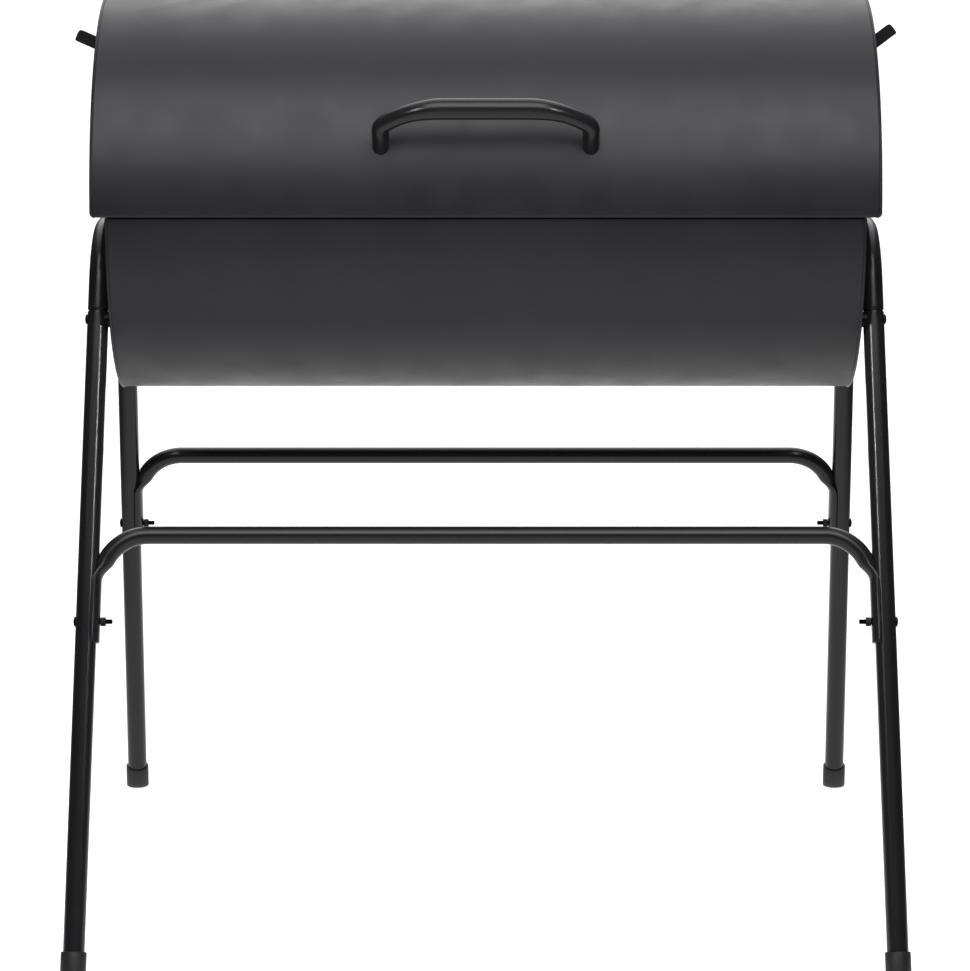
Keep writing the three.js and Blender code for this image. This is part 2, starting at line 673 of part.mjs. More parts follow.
const lidEnd = cutVents(
  barrelEnd(LID_RADIUS, LID_END, LID_HEM, lidHemWidth, LID_CORNER),
  LID_END - 20, LID_END + 20, DAMPER_RISE, 180 / VENT_COUNT,
);
let bowlEnd = barrelEnd(BOWL_RADIUS, BOWL_END, BOWL_HEM, bowlHemWidth, BOWL_CORNER)
  .mirror([0, 0, 1])
  .translate([0, 0, -FIT_GAP]);
for (const [, depth] of DEPTHS) {
  bowlEnd = bowlEnd.subtract(boltHole(BOWL_END, depth * JOINT_DEPTH, -JOINT_DROP, 40));
}
for (const [sideName, side] of SIDES) {
  piece(lid, `lid_end_${sideName}`, onSide(lidEnd, side), BARREL_PAINT);
  piece(bowl, `bowl_end_${sideName}`, onSide(bowlEnd, side), BARREL_PAINT);
}

// ---- Air dampers -----------------------------------------------------------------------

/** Disc with vents and a finger tab, drawn about its own centre, at the right end. */
function damper(lean) {
  const disc = rodX(FIT_GAP, FIT_GAP + DAMPER_SHEET, 0, 0, DAMPER_RADIUS, 2 * FASTENER_SIDES);
  const low = DAMPER_RADIUS - 0.5;
  const half = TAB_WIDTH / 2;
  const ear = box(FIT_GAP, FIT_GAP + DAMPER_SHEET, -half, DAMPER_SHEET / 2, low - 8, low + TAB_WIDTH);
  const rise = (TAB_REACH - TAB_ROOT) * Math.tan(degrees(lean));
  const cut = TAB_WIDTH * Math.tan(degrees(lean) / 2);
  const tip = point(TAB_REACH, low + rise);
  const tab = alongY([
    point(FIT_GAP, low),
    point(TAB_ROOT, low),
    tip,
    point(tip.x - TAB_WIDTH * Math.sin(degrees(lean)), tip.y + TAB_WIDTH * Math.cos(degrees(lean))),
    point(TAB_ROOT - cut, low + TAB_WIDTH),
    point(FIT_GAP, low + TAB_WIDTH),
  ], -DAMPER_SHEET / 2, DAMPER_SHEET / 2);
  return cutVents(disc.add(ear).add(tab), -5, 5, 0, 0);
}

const rivetProfile = [
  [-SHEET - FIT_GAP - 2, 0],
  [-SHEET - FIT_GAP - 2, 0.6 * RIVET_HEAD_RADIUS],
  [-SHEET - FIT_GAP, 0.7 * RIVET_HEAD_RADIUS],
  [-SHEET - FIT_GAP, RIVET_RADIUS],
  [DAMPER_SHEET + 2 * FIT_GAP, RIVET_RADIUS],
  [DAMPER_SHEET + 2 * FIT_GAP, RIVET_HEAD_RADIUS],
  [DAMPER_SHEET + 2 * FIT_GAP + 0.6 * RIVET_HEAD_HEIGHT, 0.8 * RIVET_HEAD_RADIUS],
  [DAMPER_SHEET + 2 * FIT_GAP + RIVET_HEAD_HEIGHT, 0],
];

for (const [sideName, side] of SIDES) {
  const mount = new THREE.Group();
  mount.position.set(side * LID_END, 0, DAMPER_RISE);
  lid.add(mount);
  piece(mount, `damper_${sideName}`, onSide(damper(TAB_LEAN[sideName]), side), BARREL_PAINT);
  piece(mount, `damper_rivet_${sideName}`, turnedX(rivetProfile, 0, 0, 0, side), BLACK_STEEL);
}

// ---- Lid handle ---------------------------------------------------------------------------

const handlePlane = X.clone().cross(postAlong).normalize();
const armAcross = (HANDLE_REACH - HANDLE_POST) / Math.tan(degrees(HANDLE_SLOPE));
const grip = (start) => bentPath([
  onPost(-1, start),
  onPost(-1, HANDLE_POST),
  onPost(-1, HANDLE_REACH).addScaledVector(X, armAcross),
  onPost(1, HANDLE_REACH).addScaledVector(X, -armAcross),
  onPost(1, HANDLE_POST),
  onPost(1, start),
], [ELBOW_BEND, GRIP_BEND, GRIP_BEND, ELBOW_BEND]);
const gripSection = (wall) => (station) => {
  const fromPost = HANDLE_SPACING / 2 - Math.abs(station.at.x);
  const widened = THREE.MathUtils.smoothstep(fromPost, ELBOW_BEND, 2 * armAcross);
  const radius = THREE.MathUtils.lerp(HANDLE_OD / 2, GRIP_OD / 2, widened);
  return round(radius - wall, FASTENER_SIDES);
};
const lidOutside = rodX(-LID_END, LID_END, 0, 0, LID_RADIUS + FIT_GAP, 2 * ARC_STEPS);
const lidInside = rodX(-LID_END, LID_END, 0, 0, LID_RADIUS - SHEET - FIT_GAP, 2 * ARC_STEPS);
let handle = sweep(grip(-HANDLE_OD), handlePlane, gripSection(0))
  .subtract(sweep(grip(HANDLE_PLUG), handlePlane, gripSection(TUBE_WALL)))
  .subtract(lidOutside);
for (const [, side] of SIDES) {
  const bore = rod(onPost(side, -20), onPost(side, HANDLE_PLUG + 1), SCREW_RADIUS + FIT_GAP, HOLE_SIDES);
  handle = handle.subtract(bore);
}
piece(lid, 'lid_handle', handle, TUBE_PAINT);

for (const [sideName, side] of SIDES) {
  const head = rod(onPost(side, -SCREW_HEAD_DEPTH), onPost(side, 8), SCREW_HEAD_RADIUS)
    .intersect(lidInside);
  const shank = rod(onPost(side, -3), onPost(side, HANDLE_PLUG - 2), SCREW_RADIUS, HOLE_SIDES);
  piece(lid, `handle_screw_${sideName}`, head.add(shank), BLACK_STEEL);
}

// ---- Hinges ----------------------------------------------------------------------------------

/** Curved leaf against a shell, from one height to another about the barrel axis. */
function leafPlate(radius, from, to) {
  const inner = radius + FIT_GAP;
  const outline = [
    ...arc(0, 0, inner + HINGE_SHEET, from, to, 4),
    ...arc(0, 0, inner, to, from, 4),
  ];
  return alongX(outline, -HINGE_WIDTH / 2, HINGE_WIDTH / 2);
}

/** Knuckle and the strip that joins it to its leaf at (y, z). */
function knuckle(x0, x1, y, z) {
  const strip = [
    point(y - HINGE_SHEET / 2, z),
    point(HINGE_Y - HINGE_SHEET, -HINGE_DROP),
    point(HINGE_Y + HINGE_SHEET, -HINGE_DROP),
    point(y + HINGE_SHEET, z),
  ];
  const barrelPart = rodX(x0, x1, HINGE_Y, -HINGE_DROP, KNUCKLE_RADIUS, FASTENER_SIDES);
  return barrelPart.add(alongX(strip, x0, x1));
}

const pinHole = rodX(
  -HINGE_WIDTH, HINGE_WIDTH, HINGE_Y, -HINGE_DROP, PIN_RADIUS + FIT_GAP, FASTENER_SIDES,
);
const middle = MIDDLE_KNUCKLE / 2;
const leafAngle = (radius, height) => THREE.MathUtils.radToDeg(Math.asin(height / radius));
const lidLeafFoot = 4;
const lidLeafY = LID_RADIUS + FIT_GAP + HINGE_SHEET / 2;
const lidLeaf = leafPlate(LID_RADIUS, leafAngle(LID_RADIUS, lidLeafFoot), leafAngle(LID_RADIUS, HINGE_LEAF))
  .add(knuckle(-HINGE_WIDTH / 2, -middle - FIT_GAP, lidLeafY, lidLeafFoot + 1))
  .add(knuckle(middle + FIT_GAP, HINGE_WIDTH / 2, lidLeafY, lidLeafFoot + 1))
  .subtract(pinHole);
const bowlLeafHead = HINGE_DROP + KNUCKLE_RADIUS + 4;
const bowlLeafY = BOWL_RADIUS + FIT_GAP + HINGE_SHEET / 2;
const bowlLeaf = leafPlate(
  BOWL_RADIUS, -leafAngle(BOWL_RADIUS, bowlLeafHead), -leafAngle(BOWL_RADIUS, bowlLeafHead + HINGE_LEAF),
)
  .add(knuckle(-middle, middle, bowlLeafY, -bowlLeafHead - 1))
  .subtract(pinHole);
const pinEnd = HINGE_WIDTH / 2 + FIT_GAP;
const pinProfile = [
  [-pinEnd - PIN_HEAD_HEIGHT, 0],
  [-pinEnd - PIN_HEAD_HEIGHT / 2, 0.8 * PIN_HEAD_RADIUS],
  [-pinEnd, PIN_HEAD_RADIUS],
  [-pinEnd, PIN_RADIUS],
  [pinEnd, PIN_RADIUS],
  [pinEnd, PIN_HEAD_RADIUS],
  [pinEnd + PIN_HEAD_HEIGHT / 2, 0.8 * PIN_HEAD_RADIUS],
  [pinEnd + PIN_HEAD_HEIGHT, 0],
];
const hingePin = turnedX(pinProfile, 0, HINGE_Y, -HINGE_DROP, 1);

for (const [sideName, side] of SIDES) {
  const lidHalf = piece(lid, `hinge_lid_leaf_${sideName}`, lidLeaf, BLACK_STEEL);
  const bowlHalf = piece(bowl, `hinge_bowl_leaf_${sideName}`, bowlLeaf, BLACK_STEEL);
  const pin = piece(bowl, `hinge_pin_${sideName}`, hingePin, BLACK_STEEL);
  for (const mesh of [lidHalf, bowlHalf, pin]) mesh.position.x = side * HINGE_OFFSET;
}

// ---- Rails, cooking grids and charcoal grate ---------------------------------------------------

const bowlInside = BOWL_RADIUS - SHEET;
const insideAt = (drop) => Math.sqrt(bowlInside ** 2 - drop ** 2);
const railEnd = BOWL_END - END_FLANGE - RAIL_INSET;
for (const [depthName, depth] of DEPTHS) {
  const wall = bowlInside - FIT_GAP;
  const top = leafAngle(wall, RAIL_DROP);
  const bottom = leafAngle(wall, RAIL_DROP + RAIL_LEG);
  const leg = [
    ...arc(0, 0, wall, -top, -bottom, 3),
    ...arc(0, 0, wall - SHEET, -bottom, -top, 3),
  ];
  const ledge = [
    point(insideAt(RAIL_DROP) - RAIL_LEDGE, -RAIL_DROP),
    point(insideAt(RAIL_DROP) - RAIL_LEDGE, -RAIL_DROP - SHEET),
    point(insideAt(RAIL_DROP) - 0.7, -RAIL_DROP - SHEET),
    point(insideAt(RAIL_DROP) - 0.7, -RAIL_DROP),
  ];
  const towards = (outline) => outline.map((at) => point(depth * at.x, at.y));
  const rail = alongX(towards(leg), -railEnd, railEnd).add(alongX(towards(ledge), -railEnd, railEnd));
  piece(bowl, `grid_rail_${depthName}`, rail, BARREL_PAINT);
}

/** Closed wire around a rectangle with rounded corners, level, at height z. */
function wireFrame(x0, x1, y0, y1, z, wire, corner) {
  const middle = new THREE.Vector3((x0 + x1) / 2, y0, z);
  const corners = [[x1, y0], [x1, y1], [x0, y1], [x0, y0]].map(([x, y]) => new THREE.Vector3(x, y, z));
  const bends = bentPath([middle, ...corners, middle], corner, WIRE_BEND_STEPS).slice(1, -1);
  return sweep(bends, Z, () => round(wire / 2, WIRE_SIDES), true);
}

/** Evenly spaced places strictly between two edges, no further apart than the pitch. */
function between(from, to, pitch) {
  const count = Math.round((to - from) / pitch);
  return Array.from({ length: count - 1 }, (_, i) => from + (to - from) * (i + 1) / count);
}

const gridEnd = BOWL_END - bowlHemWidth - GRID_CLEARANCE - GRID_WIRE / 2;
const gridMiddle = GRID_CLEARANCE / 2 + GRID_WIRE / 2;
const gridY = bowlInside - GRID_SIDE_GAP - GRID_WIRE / 2;
const gridZ = -RAIL_DROP + FIT_GAP + GRID_WIRE / 2;
for (const [sideName, side] of SIDES) {
  let grid = wireFrame(gridMiddle, gridEnd, -gridY, gridY, gridZ, GRID_WIRE, GRID_CORNER);
  for (const x of between(gridMiddle, gridEnd, GRID_PITCH)) {
    const ends = [-gridY, gridY].map((y) => new THREE.Vector3(x, y, gridZ));
    grid = grid.add(rod(...ends, GRID_ROD / 2, ROD_SIDES));
  }
  for (const y of [-gridY / 3, gridY / 3]) {
    const low = gridZ - 0.8 * GRID_ROD;
    const ends = [gridMiddle, gridEnd].map((x) => new THREE.Vector3(x, y, low));
    grid = grid.add(rod(...ends, GRID_ROD / 2, ROD_SIDES));
  }
  piece(bowl, `cooking_grid_${sideName}`, onSide(grid, side), WIRE_CHROME);
}

const grateX = gridEnd - GRATE_WIRE;
const grateY = Math.sqrt((bowlInside - FIT_GAP - GRATE_WIRE / 2) ** 2 - GRATE_DROP ** 2);
let grate = wireFrame(-grateX, grateX, -grateY, grateY, -GRATE_DROP, GRATE_WIRE, GRID_CORNER);
for (const y of between(-grateY, grateY, GRATE_PITCH)) {
  const ends = [-grateX, grateX].map((x) => new THREE.Vector3(x, y, -GRATE_DROP));
  grate = grate.add(rod(...ends, GRID_ROD / 2, ROD_SIDES));
}
for (const x of between(-grateX, grateX, 2 * grateX / (GRATE_CROSS_RODS + 1))) {
  const low = -GRATE_DROP - 0.8 * GRID_ROD;
  const half = insideAt(GRATE_DROP + 0.8 * GRID_ROD + GRATE_WIRE / 2) - GRATE_WIRE;
  const ends = [-half, half].map((y) => new THREE.Vector3(x, y, low));
  grate = grate.add(rod(...ends, GRID_ROD / 2, ROD_SIDES));
}
piece(bowl, 'charcoal_grate', grate, BLACK_STEEL);

export default barbecue;
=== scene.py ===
# %% [markdown]
# # A barrel charcoal barbecue
# The barbecue has a half-round lid on a half-round fire bowl, two arched leg
# frames and two bent crossbars. Here each piece gets its finished shape and
# its paint. Everything is measured in millimetres and only turned to Blender's
# metres when a mesh is made.

# %% Load the frame
import json
import math

import bmesh
import bpy
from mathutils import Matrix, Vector


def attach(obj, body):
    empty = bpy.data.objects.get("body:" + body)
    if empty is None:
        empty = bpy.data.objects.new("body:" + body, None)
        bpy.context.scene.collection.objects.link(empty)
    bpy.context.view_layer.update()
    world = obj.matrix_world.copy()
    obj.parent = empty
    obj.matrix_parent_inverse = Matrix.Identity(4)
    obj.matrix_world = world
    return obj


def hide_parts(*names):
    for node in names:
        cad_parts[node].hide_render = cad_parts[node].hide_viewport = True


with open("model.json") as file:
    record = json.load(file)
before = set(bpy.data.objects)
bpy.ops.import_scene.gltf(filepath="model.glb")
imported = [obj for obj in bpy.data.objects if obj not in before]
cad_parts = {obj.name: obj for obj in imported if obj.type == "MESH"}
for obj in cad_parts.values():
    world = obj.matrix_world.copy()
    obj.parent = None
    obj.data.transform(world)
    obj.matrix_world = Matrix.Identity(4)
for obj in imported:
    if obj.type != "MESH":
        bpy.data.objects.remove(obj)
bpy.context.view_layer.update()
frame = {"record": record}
record = frame["record"]
body_of = {node: body for body, nodes in record["behaviour"]["bodies"].items() for node in nodes}
print("pieces in the frame:", len(body_of))

# %% [markdown]
# The camera stands almost four metres in front, a little higher than the lid,
# and looks slightly down through a long lens. A long lens keeps the legs nearly
# parallel. The small shift puts the lid at the top of the picture, as when a
# photographer slides the lens instead of tilting the camera.

# %% Camera
camera_data = bpy.data.cameras.new("studio_camera")
camera_data.lens = 141.9
camera_data.sensor_width = 36
camera_data.shift_x = -0.0008
camera_data.shift_y = -0.1332
camera_data.clip_end = 60
camera = bpy.data.objects.new("studio_camera", camera_data)
camera.location = (0, -3.893, 1.177)
camera.rotation_euler = (math.radians(80.89), 0, 0)
bpy.context.scene.collection.objects.link(camera)
bpy.context.scene.camera = camera
bpy.context.scene.view_settings.view_transform = "Standard"  # white paper stays white
print("camera", [round(value, 3) for value in camera.location])

# %% [markdown]
# ## Measures
# These are the sizes of the real pieces, in millimetres. The barrel's axis runs
# along X. The lid is a little larger than the bowl, so that its edge hides the
# joint and rain runs off.

# %% Measures
FIT_GAP = 0.3  # air between pieces that touch
SHEET = 1.0  # thickness of the lid's and bowl's steel
AXIS_HEIGHT = 721.0
BOWL_RADIUS, BOWL_END = 196.5, 371.0
LID_RADIUS, LID_END = 202.5, 385.0
SEAM_WIDTH, SEAM_PROUD = 2.5, 1.0
END_FLANGE = 13.0
LEG_RADIUS, TUBE_WALL = 10.5, 1.2
NECK_RADIUS = 9.0
JOINT_X, JOINT_Y, JOINT_HEIGHT = 384.0, 145.0, 613.0
FOOT_Y, FOOT_SPLAY = 350.0, 13.7
LEG_TOP, LEG_FLOOR = 620.0, 8.3
BAR_RADIUS, BAR_HEIGHT, BAR_BEND, BAR_TAIL, BAR_BOLT = 8.75, 409.0, 46.0, 60.0, 39.0
BOLT_RADIUS, BOLT_HEAD_RADIUS, BOLT_HEAD_HEIGHT = 2.5, 5.0, 2.2
NUT_FLATS, NUT_HEIGHT, THREAD_PITCH = 8.0, 5.0, 0.8
SIDES = {"left": -1, "right": 1}
DEPTHS = {"front": -1, "back": 1}
QUARTERS = [(f"{deep}_{aside}", SIDES[aside], DEPTHS[deep]) for aside in SIDES for deep in DEPTHS]
print("lid", 2 * LID_END, "mm long and", 2 * LID_RADIUS, "mm across")

# %% [markdown]
# ## Shapes from rings and sheets
# Almost all of this barbecue is either tube or sheet. A tube is a row of rings,
# each joined to the next. A sheet is a grid of points with a second grid behind
# it, and a thin wall around the edge. A shape here is a list of points and a
# list of faces, so that shapes can be added together before Blender sees them.

# %% Rings, sheets and turned shapes
def ringed(rings, closed=False, capped=True):
    """A skin over rings of points. A closed one joins its last ring to its first."""
    count = len(rings[0])
    points = [Vector(point) for ring in rings for point in ring]
    faces = []
    for row in range(len(rings) - (0 if closed else 1)):
        here, there = row * count, (row + 1) % len(rings) * count
        for k in range(count):
            after = (k + 1) % count
            faces.append((here + k, here + after, there + after, there + k))
    if capped and not closed:
        faces.append(tuple(reversed(range(count))))
        faces.append(tuple(range(len(points) - count, len(points))))
    return points, faces


def sheeted(front, back):
    """A sheet between two grids of points, with walls around its four edges."""
    rows, columns = len(front), len(front[0])
    points = [Vector(point) for grid in (front, back) for row in grid for point in row]
    behind = rows * columns
    faces = []
    for i in range(rows - 1):
        for j in range(columns - 1):
            a, b = i * columns + j, (i + 1) * columns + j
            faces.append((a, b, b + 1, a + 1))
            faces.append((behind + a + 1, behind + b + 1, behind + b, behind + a))
    rim = list(range(columns))
    rim += [i * columns + columns - 1 for i in range(1, rows)]
    rim += [(rows - 1) * columns + j for j in range(columns - 2, -1, -1)]
    rim += [i * columns for i in range(rows - 2, 0, -1)]
    for a, b in zip(rim, rim[1:] + rim[:1]):
        faces.append((a, b, behind + b, behind + a))
    return points, faces


def crossways(direction):
    """Two directions square to this one and to each other."""
    along = Vector(direction).normalized()
    helper = Vector((0, 1, 0)) if abs(along.y) < 0.9 else Vector((1, 0, 0))
    across = along.cross(helper).normalized()
    return along, across, along.cross(across)


def turned(profile, start, direction, steps=48, closed=False):
    """Turns (distance, radius) points about an axis, as on a lathe."""
    along, across, over = crossways(direction)
    rings = []
    for distance, radius in profile:
        middle = Vector(start) + along * distance
        ring = []
        for k in range(steps):
            angle = 2 * math.pi * k / steps
            out = across * radius * math.cos(angle)
            ring.append(middle + out + over * radius * math.sin(angle))
        rings.append(ring)
    return ringed(rings, closed)


def together(shapes):
    """Several shapes as one."""
    points, faces = [], []
    for more_points, more_faces in shapes:
        faces += [tuple(len(points) + corner for corner in face) for face in more_faces]
        points += more_points
    return points, faces


def mirrored(shape, side):
    """A shape made for the right-hand side, on the side asked for."""
    points, faces = shape
    if side > 0:
        return shape
    return [Vector((-p.x, p.y, p.z)) for p in points], [tuple(reversed(face)) for face in faces]


def moved(shape, by):
    """The shape, moved by some millimetres."""
    points, faces = shape
    return [point + Vector(by) for point in points], faces


print("shape helpers ready")

# %% [markdown]
# `fit` puts a finished shape where its engineering twin is. It makes the mesh,
# turns its faces outwards, rounds its sharp edges a little, because no real
# edge is a perfect corner, and lets it ride on the right moving body.

# %% Fitting a shape to the frame
def mesh_of(shape, name):
    """A clean Blender mesh, in metres, from a shape in millimetres."""
    points, faces = shape
    mesh = bpy.data.meshes.new(name)
    mesh.from_pydata([tuple(0.001 * value for value in point) for point in points], [], faces)
    work = bmesh.new()
    work.from_mesh(mesh)
    bmesh.ops.remove_doubles(work, verts=work.verts, dist=2e-6)
    bmesh.ops.dissolve_degenerate(work, edges=work.edges, dist=1e-7)
    bmesh.ops.recalc_face_normals(work, faces=work.faces)
    work.to_mesh(mesh)
    work.free()
    return mesh


def fit(node, shape, finish, edge=0.0, smooth=35):
    """Makes the piece that stands for a node, in its finish, with its edges rounded."""
    mesh = mesh_of(shape, node + "_shape")
    mesh.materials.append(finish)
    mesh.shade_smooth()
    mesh.set_sharp_from_angle(angle=math.radians(smooth))
    made = bpy.data.objects.new(node + "_shape", mesh)
    bpy.context.scene.collection.objects.link(made)
    if edge:
        rounding = made.modifiers.new("rounded_edges", "BEVEL")
        rounding.width = 0.001 * edge
        rounding.segments = 2
        rounding.limit_method = "ANGLE"
        rounding.angle_limit = math.radians(smooth + 5)
        rounding.harden_normals = True
    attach(made, body_of[node])
    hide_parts(node)


def drilled(shape, cutters):
    """The shape with holes where the cutters pass through."""
    solid = bpy.data.objects.new("drilled", mesh_of(shape, "drilled"))
    bit = bpy.data.objects.new("bit", mesh_of(together(cutters), "bit"))
    for made in (solid, bit):
        bpy.context.scene.collection.objects.link(made)
    cut = solid.modifiers.new("cut", "BOOLEAN")
    cut.object = bit
    cut.operation = "DIFFERENCE"
    cut.solver = "EXACT"
    bpy.context.view_layer.update()
    result = solid.evaluated_get(bpy.context.evaluated_depsgraph_get()).to_mesh()
    points = [1000 * vertex.co for vertex in result.vertices]
    faces = [tuple(face.vertices) for face in result.polygons]
    for made in (solid, bit):
        bpy.data.objects.remove(made)
    return points, faces


print("fit and drilled ready")

# %% [markdown]
# ## Finishes
# Screens show sRGB colours, but light adds up in linear ones, so one function
# turns the familiar hex codes into linear numbers. Another adds one node to a
# material, with its settings and its links, which keeps each recipe short. Real
# finishes are never quite even, so `mottled` varies a value in soft patches,
# `patchy` lays one colour over another in such patches, and `uneven` raises and
# sinks the surface. All three are given real sizes in millimetres.

# %% Colour and node helpers
def colour(code):
    """Linear colour from an sRGB hex code."""
    parts = [int(code[i:i + 2], 16) / 255 for i in (1, 3, 5)]
    linear = [part / 12.92 if part <= 0.04045 else ((part + 0.055) / 1.055) ** 2.4
              for part in parts]
    return (*linear, 1.0)


def add(tree, kind, inputs=None, **settings):
    """Adds one node. An input is either a value or another node's output."""
    made = tree.nodes.new(kind)
    for name, value in settings.items():
        setattr(made, name, value)
    for socket, value in (inputs or {}).items():
        if isinstance(value, bpy.types.NodeSocket):
            tree.links.new(value, made.inputs[socket])
        else:
            made.inputs[socket].default_value = value
    return made


def new_finish(name):
    """An empty material: its tree, and where on the object each point lies, in metres."""
    made = bpy.data.materials.new(name)
    made.use_nodes = True
    made.node_tree.nodes.clear()
    place = add(made.node_tree, "ShaderNodeTexCoord").outputs["Object"]
    return made, made.node_tree, place


def mottled(tree, place, size, detail, low=0, high=1, start=0.3, end=0.7):
    """Soft patches some millimetres across, as a value between low and high."""
    patches = {"Vector": place, "Scale": 1000 / size, "Detail": detail}
    inputs = {"Value": add(tree, "ShaderNodeTexNoise", patches).outputs["Fac"]}
    inputs |= {"From Min": start, "From Max": end, "To Min": low, "To Max": high}
    return add(tree, "ShaderNodeMapRange", inputs).outputs["Result"]


def uneven(tree, place, size, detail, depth, under=None):
    """Surface that rises and sinks by a depth, over some millimetres."""
    patches = {"Vector": place, "Scale": 1000 / size, "Detail": detail}
    inputs = {"Height": add(tree, "ShaderNodeTexNoise", patches).outputs["Fac"]}
    inputs["Distance"] = 0.001 * depth
    if under:
        inputs["Normal"] = under
    return add(tree, "ShaderNodeBump", inputs).outputs["Normal"]


def patchy(tree, place, size, detail, under, over, *span):
    """One colour with soft patches of another, as strong as `mottled` makes its span."""
    colours = {0: mottled(tree, place, size, detail, *span), 6: under, 7: over}
    return add(tree, "ShaderNodeMix", colours, data_type="RGBA").outputs[2]


def surface(tree, inputs):
    """Finishes a material with its shader."""
    shader = add(tree, "ShaderNodeBsdfPrincipled", inputs)
    add(tree, "ShaderNodeOutputMaterial", {"Surface": shader.outputs["BSDF"]})


print("charcoal in linear light:", [round(part, 3) for part in colour("#343338")])

# %% [markdown]
# ### Heat-resistant paint on pressed steel
# Barbecue lids are sprayed with silicone paint that survives the fire. It dries
# to a satin charcoal, neither matt nor glossy. Sprayed paint has a faint orange
# peel, drawn here a little coarse so that it shows at all. The thin sheet under
# it is never quite true, so reflections wander over a hand's width.

# %% Barrel paint
barrel_paint, tree, place = new_finish("silicone_paint_sprayed_on_pressed_steel")
cloudy = patchy(tree, place, 90, 3, colour("#1a191f"), colour("#1f1e24"))
flecked = patchy(tree, place, 0.9, 1, cloudy, colour("#3a3a40"), 0, 0.25, 0.6, 0.8)
wander = uneven(tree, place, 160, 1, 1.2)
peel = uneven(tree, place, 2.4, 2, 0.012, under=wander)
surface(tree, {
    "Base Color": flecked,
    "Roughness": mottled(tree, place, 35, 4, 0.38, 0.47),
    "IOR": 1.5,
    "Specular IOR Level": 0.4,
    "Normal": peel,
})
print(barrel_paint.name)

# %% [markdown]
# ### Powder coat on steel tube
# The stand and the handle are tube, coated with black powder that melts in an
# oven into a smooth, hard, fairly glossy skin. Tubes pick up small scuffs when
# they are packed, so the gloss varies along them.

# %% Tube paint
tube_paint, tree, place = new_finish("black_powder_coat_on_steel_tube")
scuffed = patchy(tree, place, 14, 5, colour("#1f1f21"), colour("#262628"), 0, 0.35, 0.55, 0.75)
surface(tree, {
    "Base Color": scuffed,
    "Roughness": mottled(tree, place, 60, 3, 0.19, 0.23),
    "Specular IOR Level": 0.35,
    "Normal": uneven(tree, place, 1.6, 1, 0.004),
})
print(tube_paint.name)

# %% [markdown]
# ### Moulded polyethylene
# The feet are soft black plastic caps from a mould. The mould's spark-eroded
# walls leave a fine matt grain, and the soles turn grey with dust.

# %% Foot plastic
foot_plastic, tree, place = new_finish("moulded_black_polyethylene")
DUST_HEIGHT, DUST_SHARE = 0.006, 0.6  # metres above the floor, and how much shows there
height = add(tree, "ShaderNodeSeparateXYZ", {"Vector": place}).outputs["Z"]
dusty = add(tree, "ShaderNodeMapRange", {
    "Value": height, "From Min": 0.0, "From Max": DUST_HEIGHT, "To Min": DUST_SHARE, "To Max": 0.0,
}).outputs["Result"]
specks = mottled(tree, place, 3, 3, 0, 1, 0, 1)
dust = add(tree, "ShaderNodeMath", {0: dusty, 1: specks}, operation="MULTIPLY").outputs[0]
colours = {0: dust, 6: colour("#151516"), 7: colour("#64615d")}
surface(tree, {
    "Base Color": add(tree, "ShaderNodeMix", colours, data_type="RGBA").outputs[2],
    "Roughness": mottled(tree, place, 6, 3, 0.5, 0.62),
    "IOR": 1.51,
    "Normal": uneven(tree, place, 0.7, 2, 0.03),
})
print(foot_plastic.name)

# %% [markdown]
# ### Blackened steel
# Bolts, nuts, rivets and hinges are dipped in hot salts that turn the steel
# itself black. It is still metal, so it shines like metal, only darkly, and the
# shine is uneven where the oil has dried.

# %% Fastener steel
fastener_steel, tree, place = new_finish("black_oxide_steel")
surface(tree, {
    "Base Color": patchy(tree, place, 5, 4, colour("#161618"), colour("#242427")),
    "Metallic": 1.0,
    "Roughness": mottled(tree, place, 2, 3, 0.3, 0.46),
    "Normal": uneven(tree, place, 0.6, 2, 0.01),
})
print(fastener_steel.name)

# %% [markdown]
# ### Plated wire and enamelled wire
# The cooking grids are steel wire, welded and then plated with nickel and
# chrome. The charcoal grate below them would lose its plating in the fire, so it
# is enamelled matt black, and pale ash settles on it.

# %% Grid and grate wire
wire_chrome, tree, place = new_finish("chrome_plated_steel_wire")
surface(tree, {
    "Base Color": patchy(tree, place, 25, 3, colour("#c2c4c6"), colour("#d6d7d8")),
    "Metallic": 1.0,
    "Roughness": mottled(tree, place, 4, 3, 0.12, 0.24),
    "Normal": uneven(tree, place, 1.5, 2, 0.015),
})

grate_wire, tree, place = new_finish("matt_black_enamel_on_steel_wire")
ashen = patchy(tree, place, 9, 5, colour("#1d1c1c"), colour("#77736e"), 0, 0.4, 0.5, 0.75)
surface(tree, {
    "Base Color": ashen,
    "Roughness": mottled(tree, place, 5, 3, 0.55, 0.75),
    "IOR": 1.5,
    "Normal": uneven(tree, place, 0.8, 3, 0.05),
})
print(wire_chrome.name, "and", grate_wire.name)

# %% [markdown]
# ## Legs
# Each leg is a straight steel tube that leans outwards. One function gives a
# point on a leg's centreline at any height, and everything on the leg uses it.
# The tube is turned from a closed outline of its wall, so its open top shows how
# thick the steel is.

# %% Leg lines
def on_leg(side, depth, height):
    """Point on a leg's centreline at a height above the floor."""
    down = 1 - height / JOINT_HEIGHT
    x, y = JOINT_X + FOOT_SPLAY * down, JOINT_Y + (FOOT_Y - JOINT_Y) * down
    return Vector((side * x, depth * y, height))


def up_leg(side, depth):
    """Direction up a leg."""
    return (on_leg(side, depth, JOINT_HEIGHT) - on_leg(side, depth, 0)).normalized()


LEG_RISE = up_leg(1, 1).z  # height gained per millimetre of leg
print("the legs lean", round(math.degrees(math.acos(LEG_RISE)), 1), "degrees from upright")

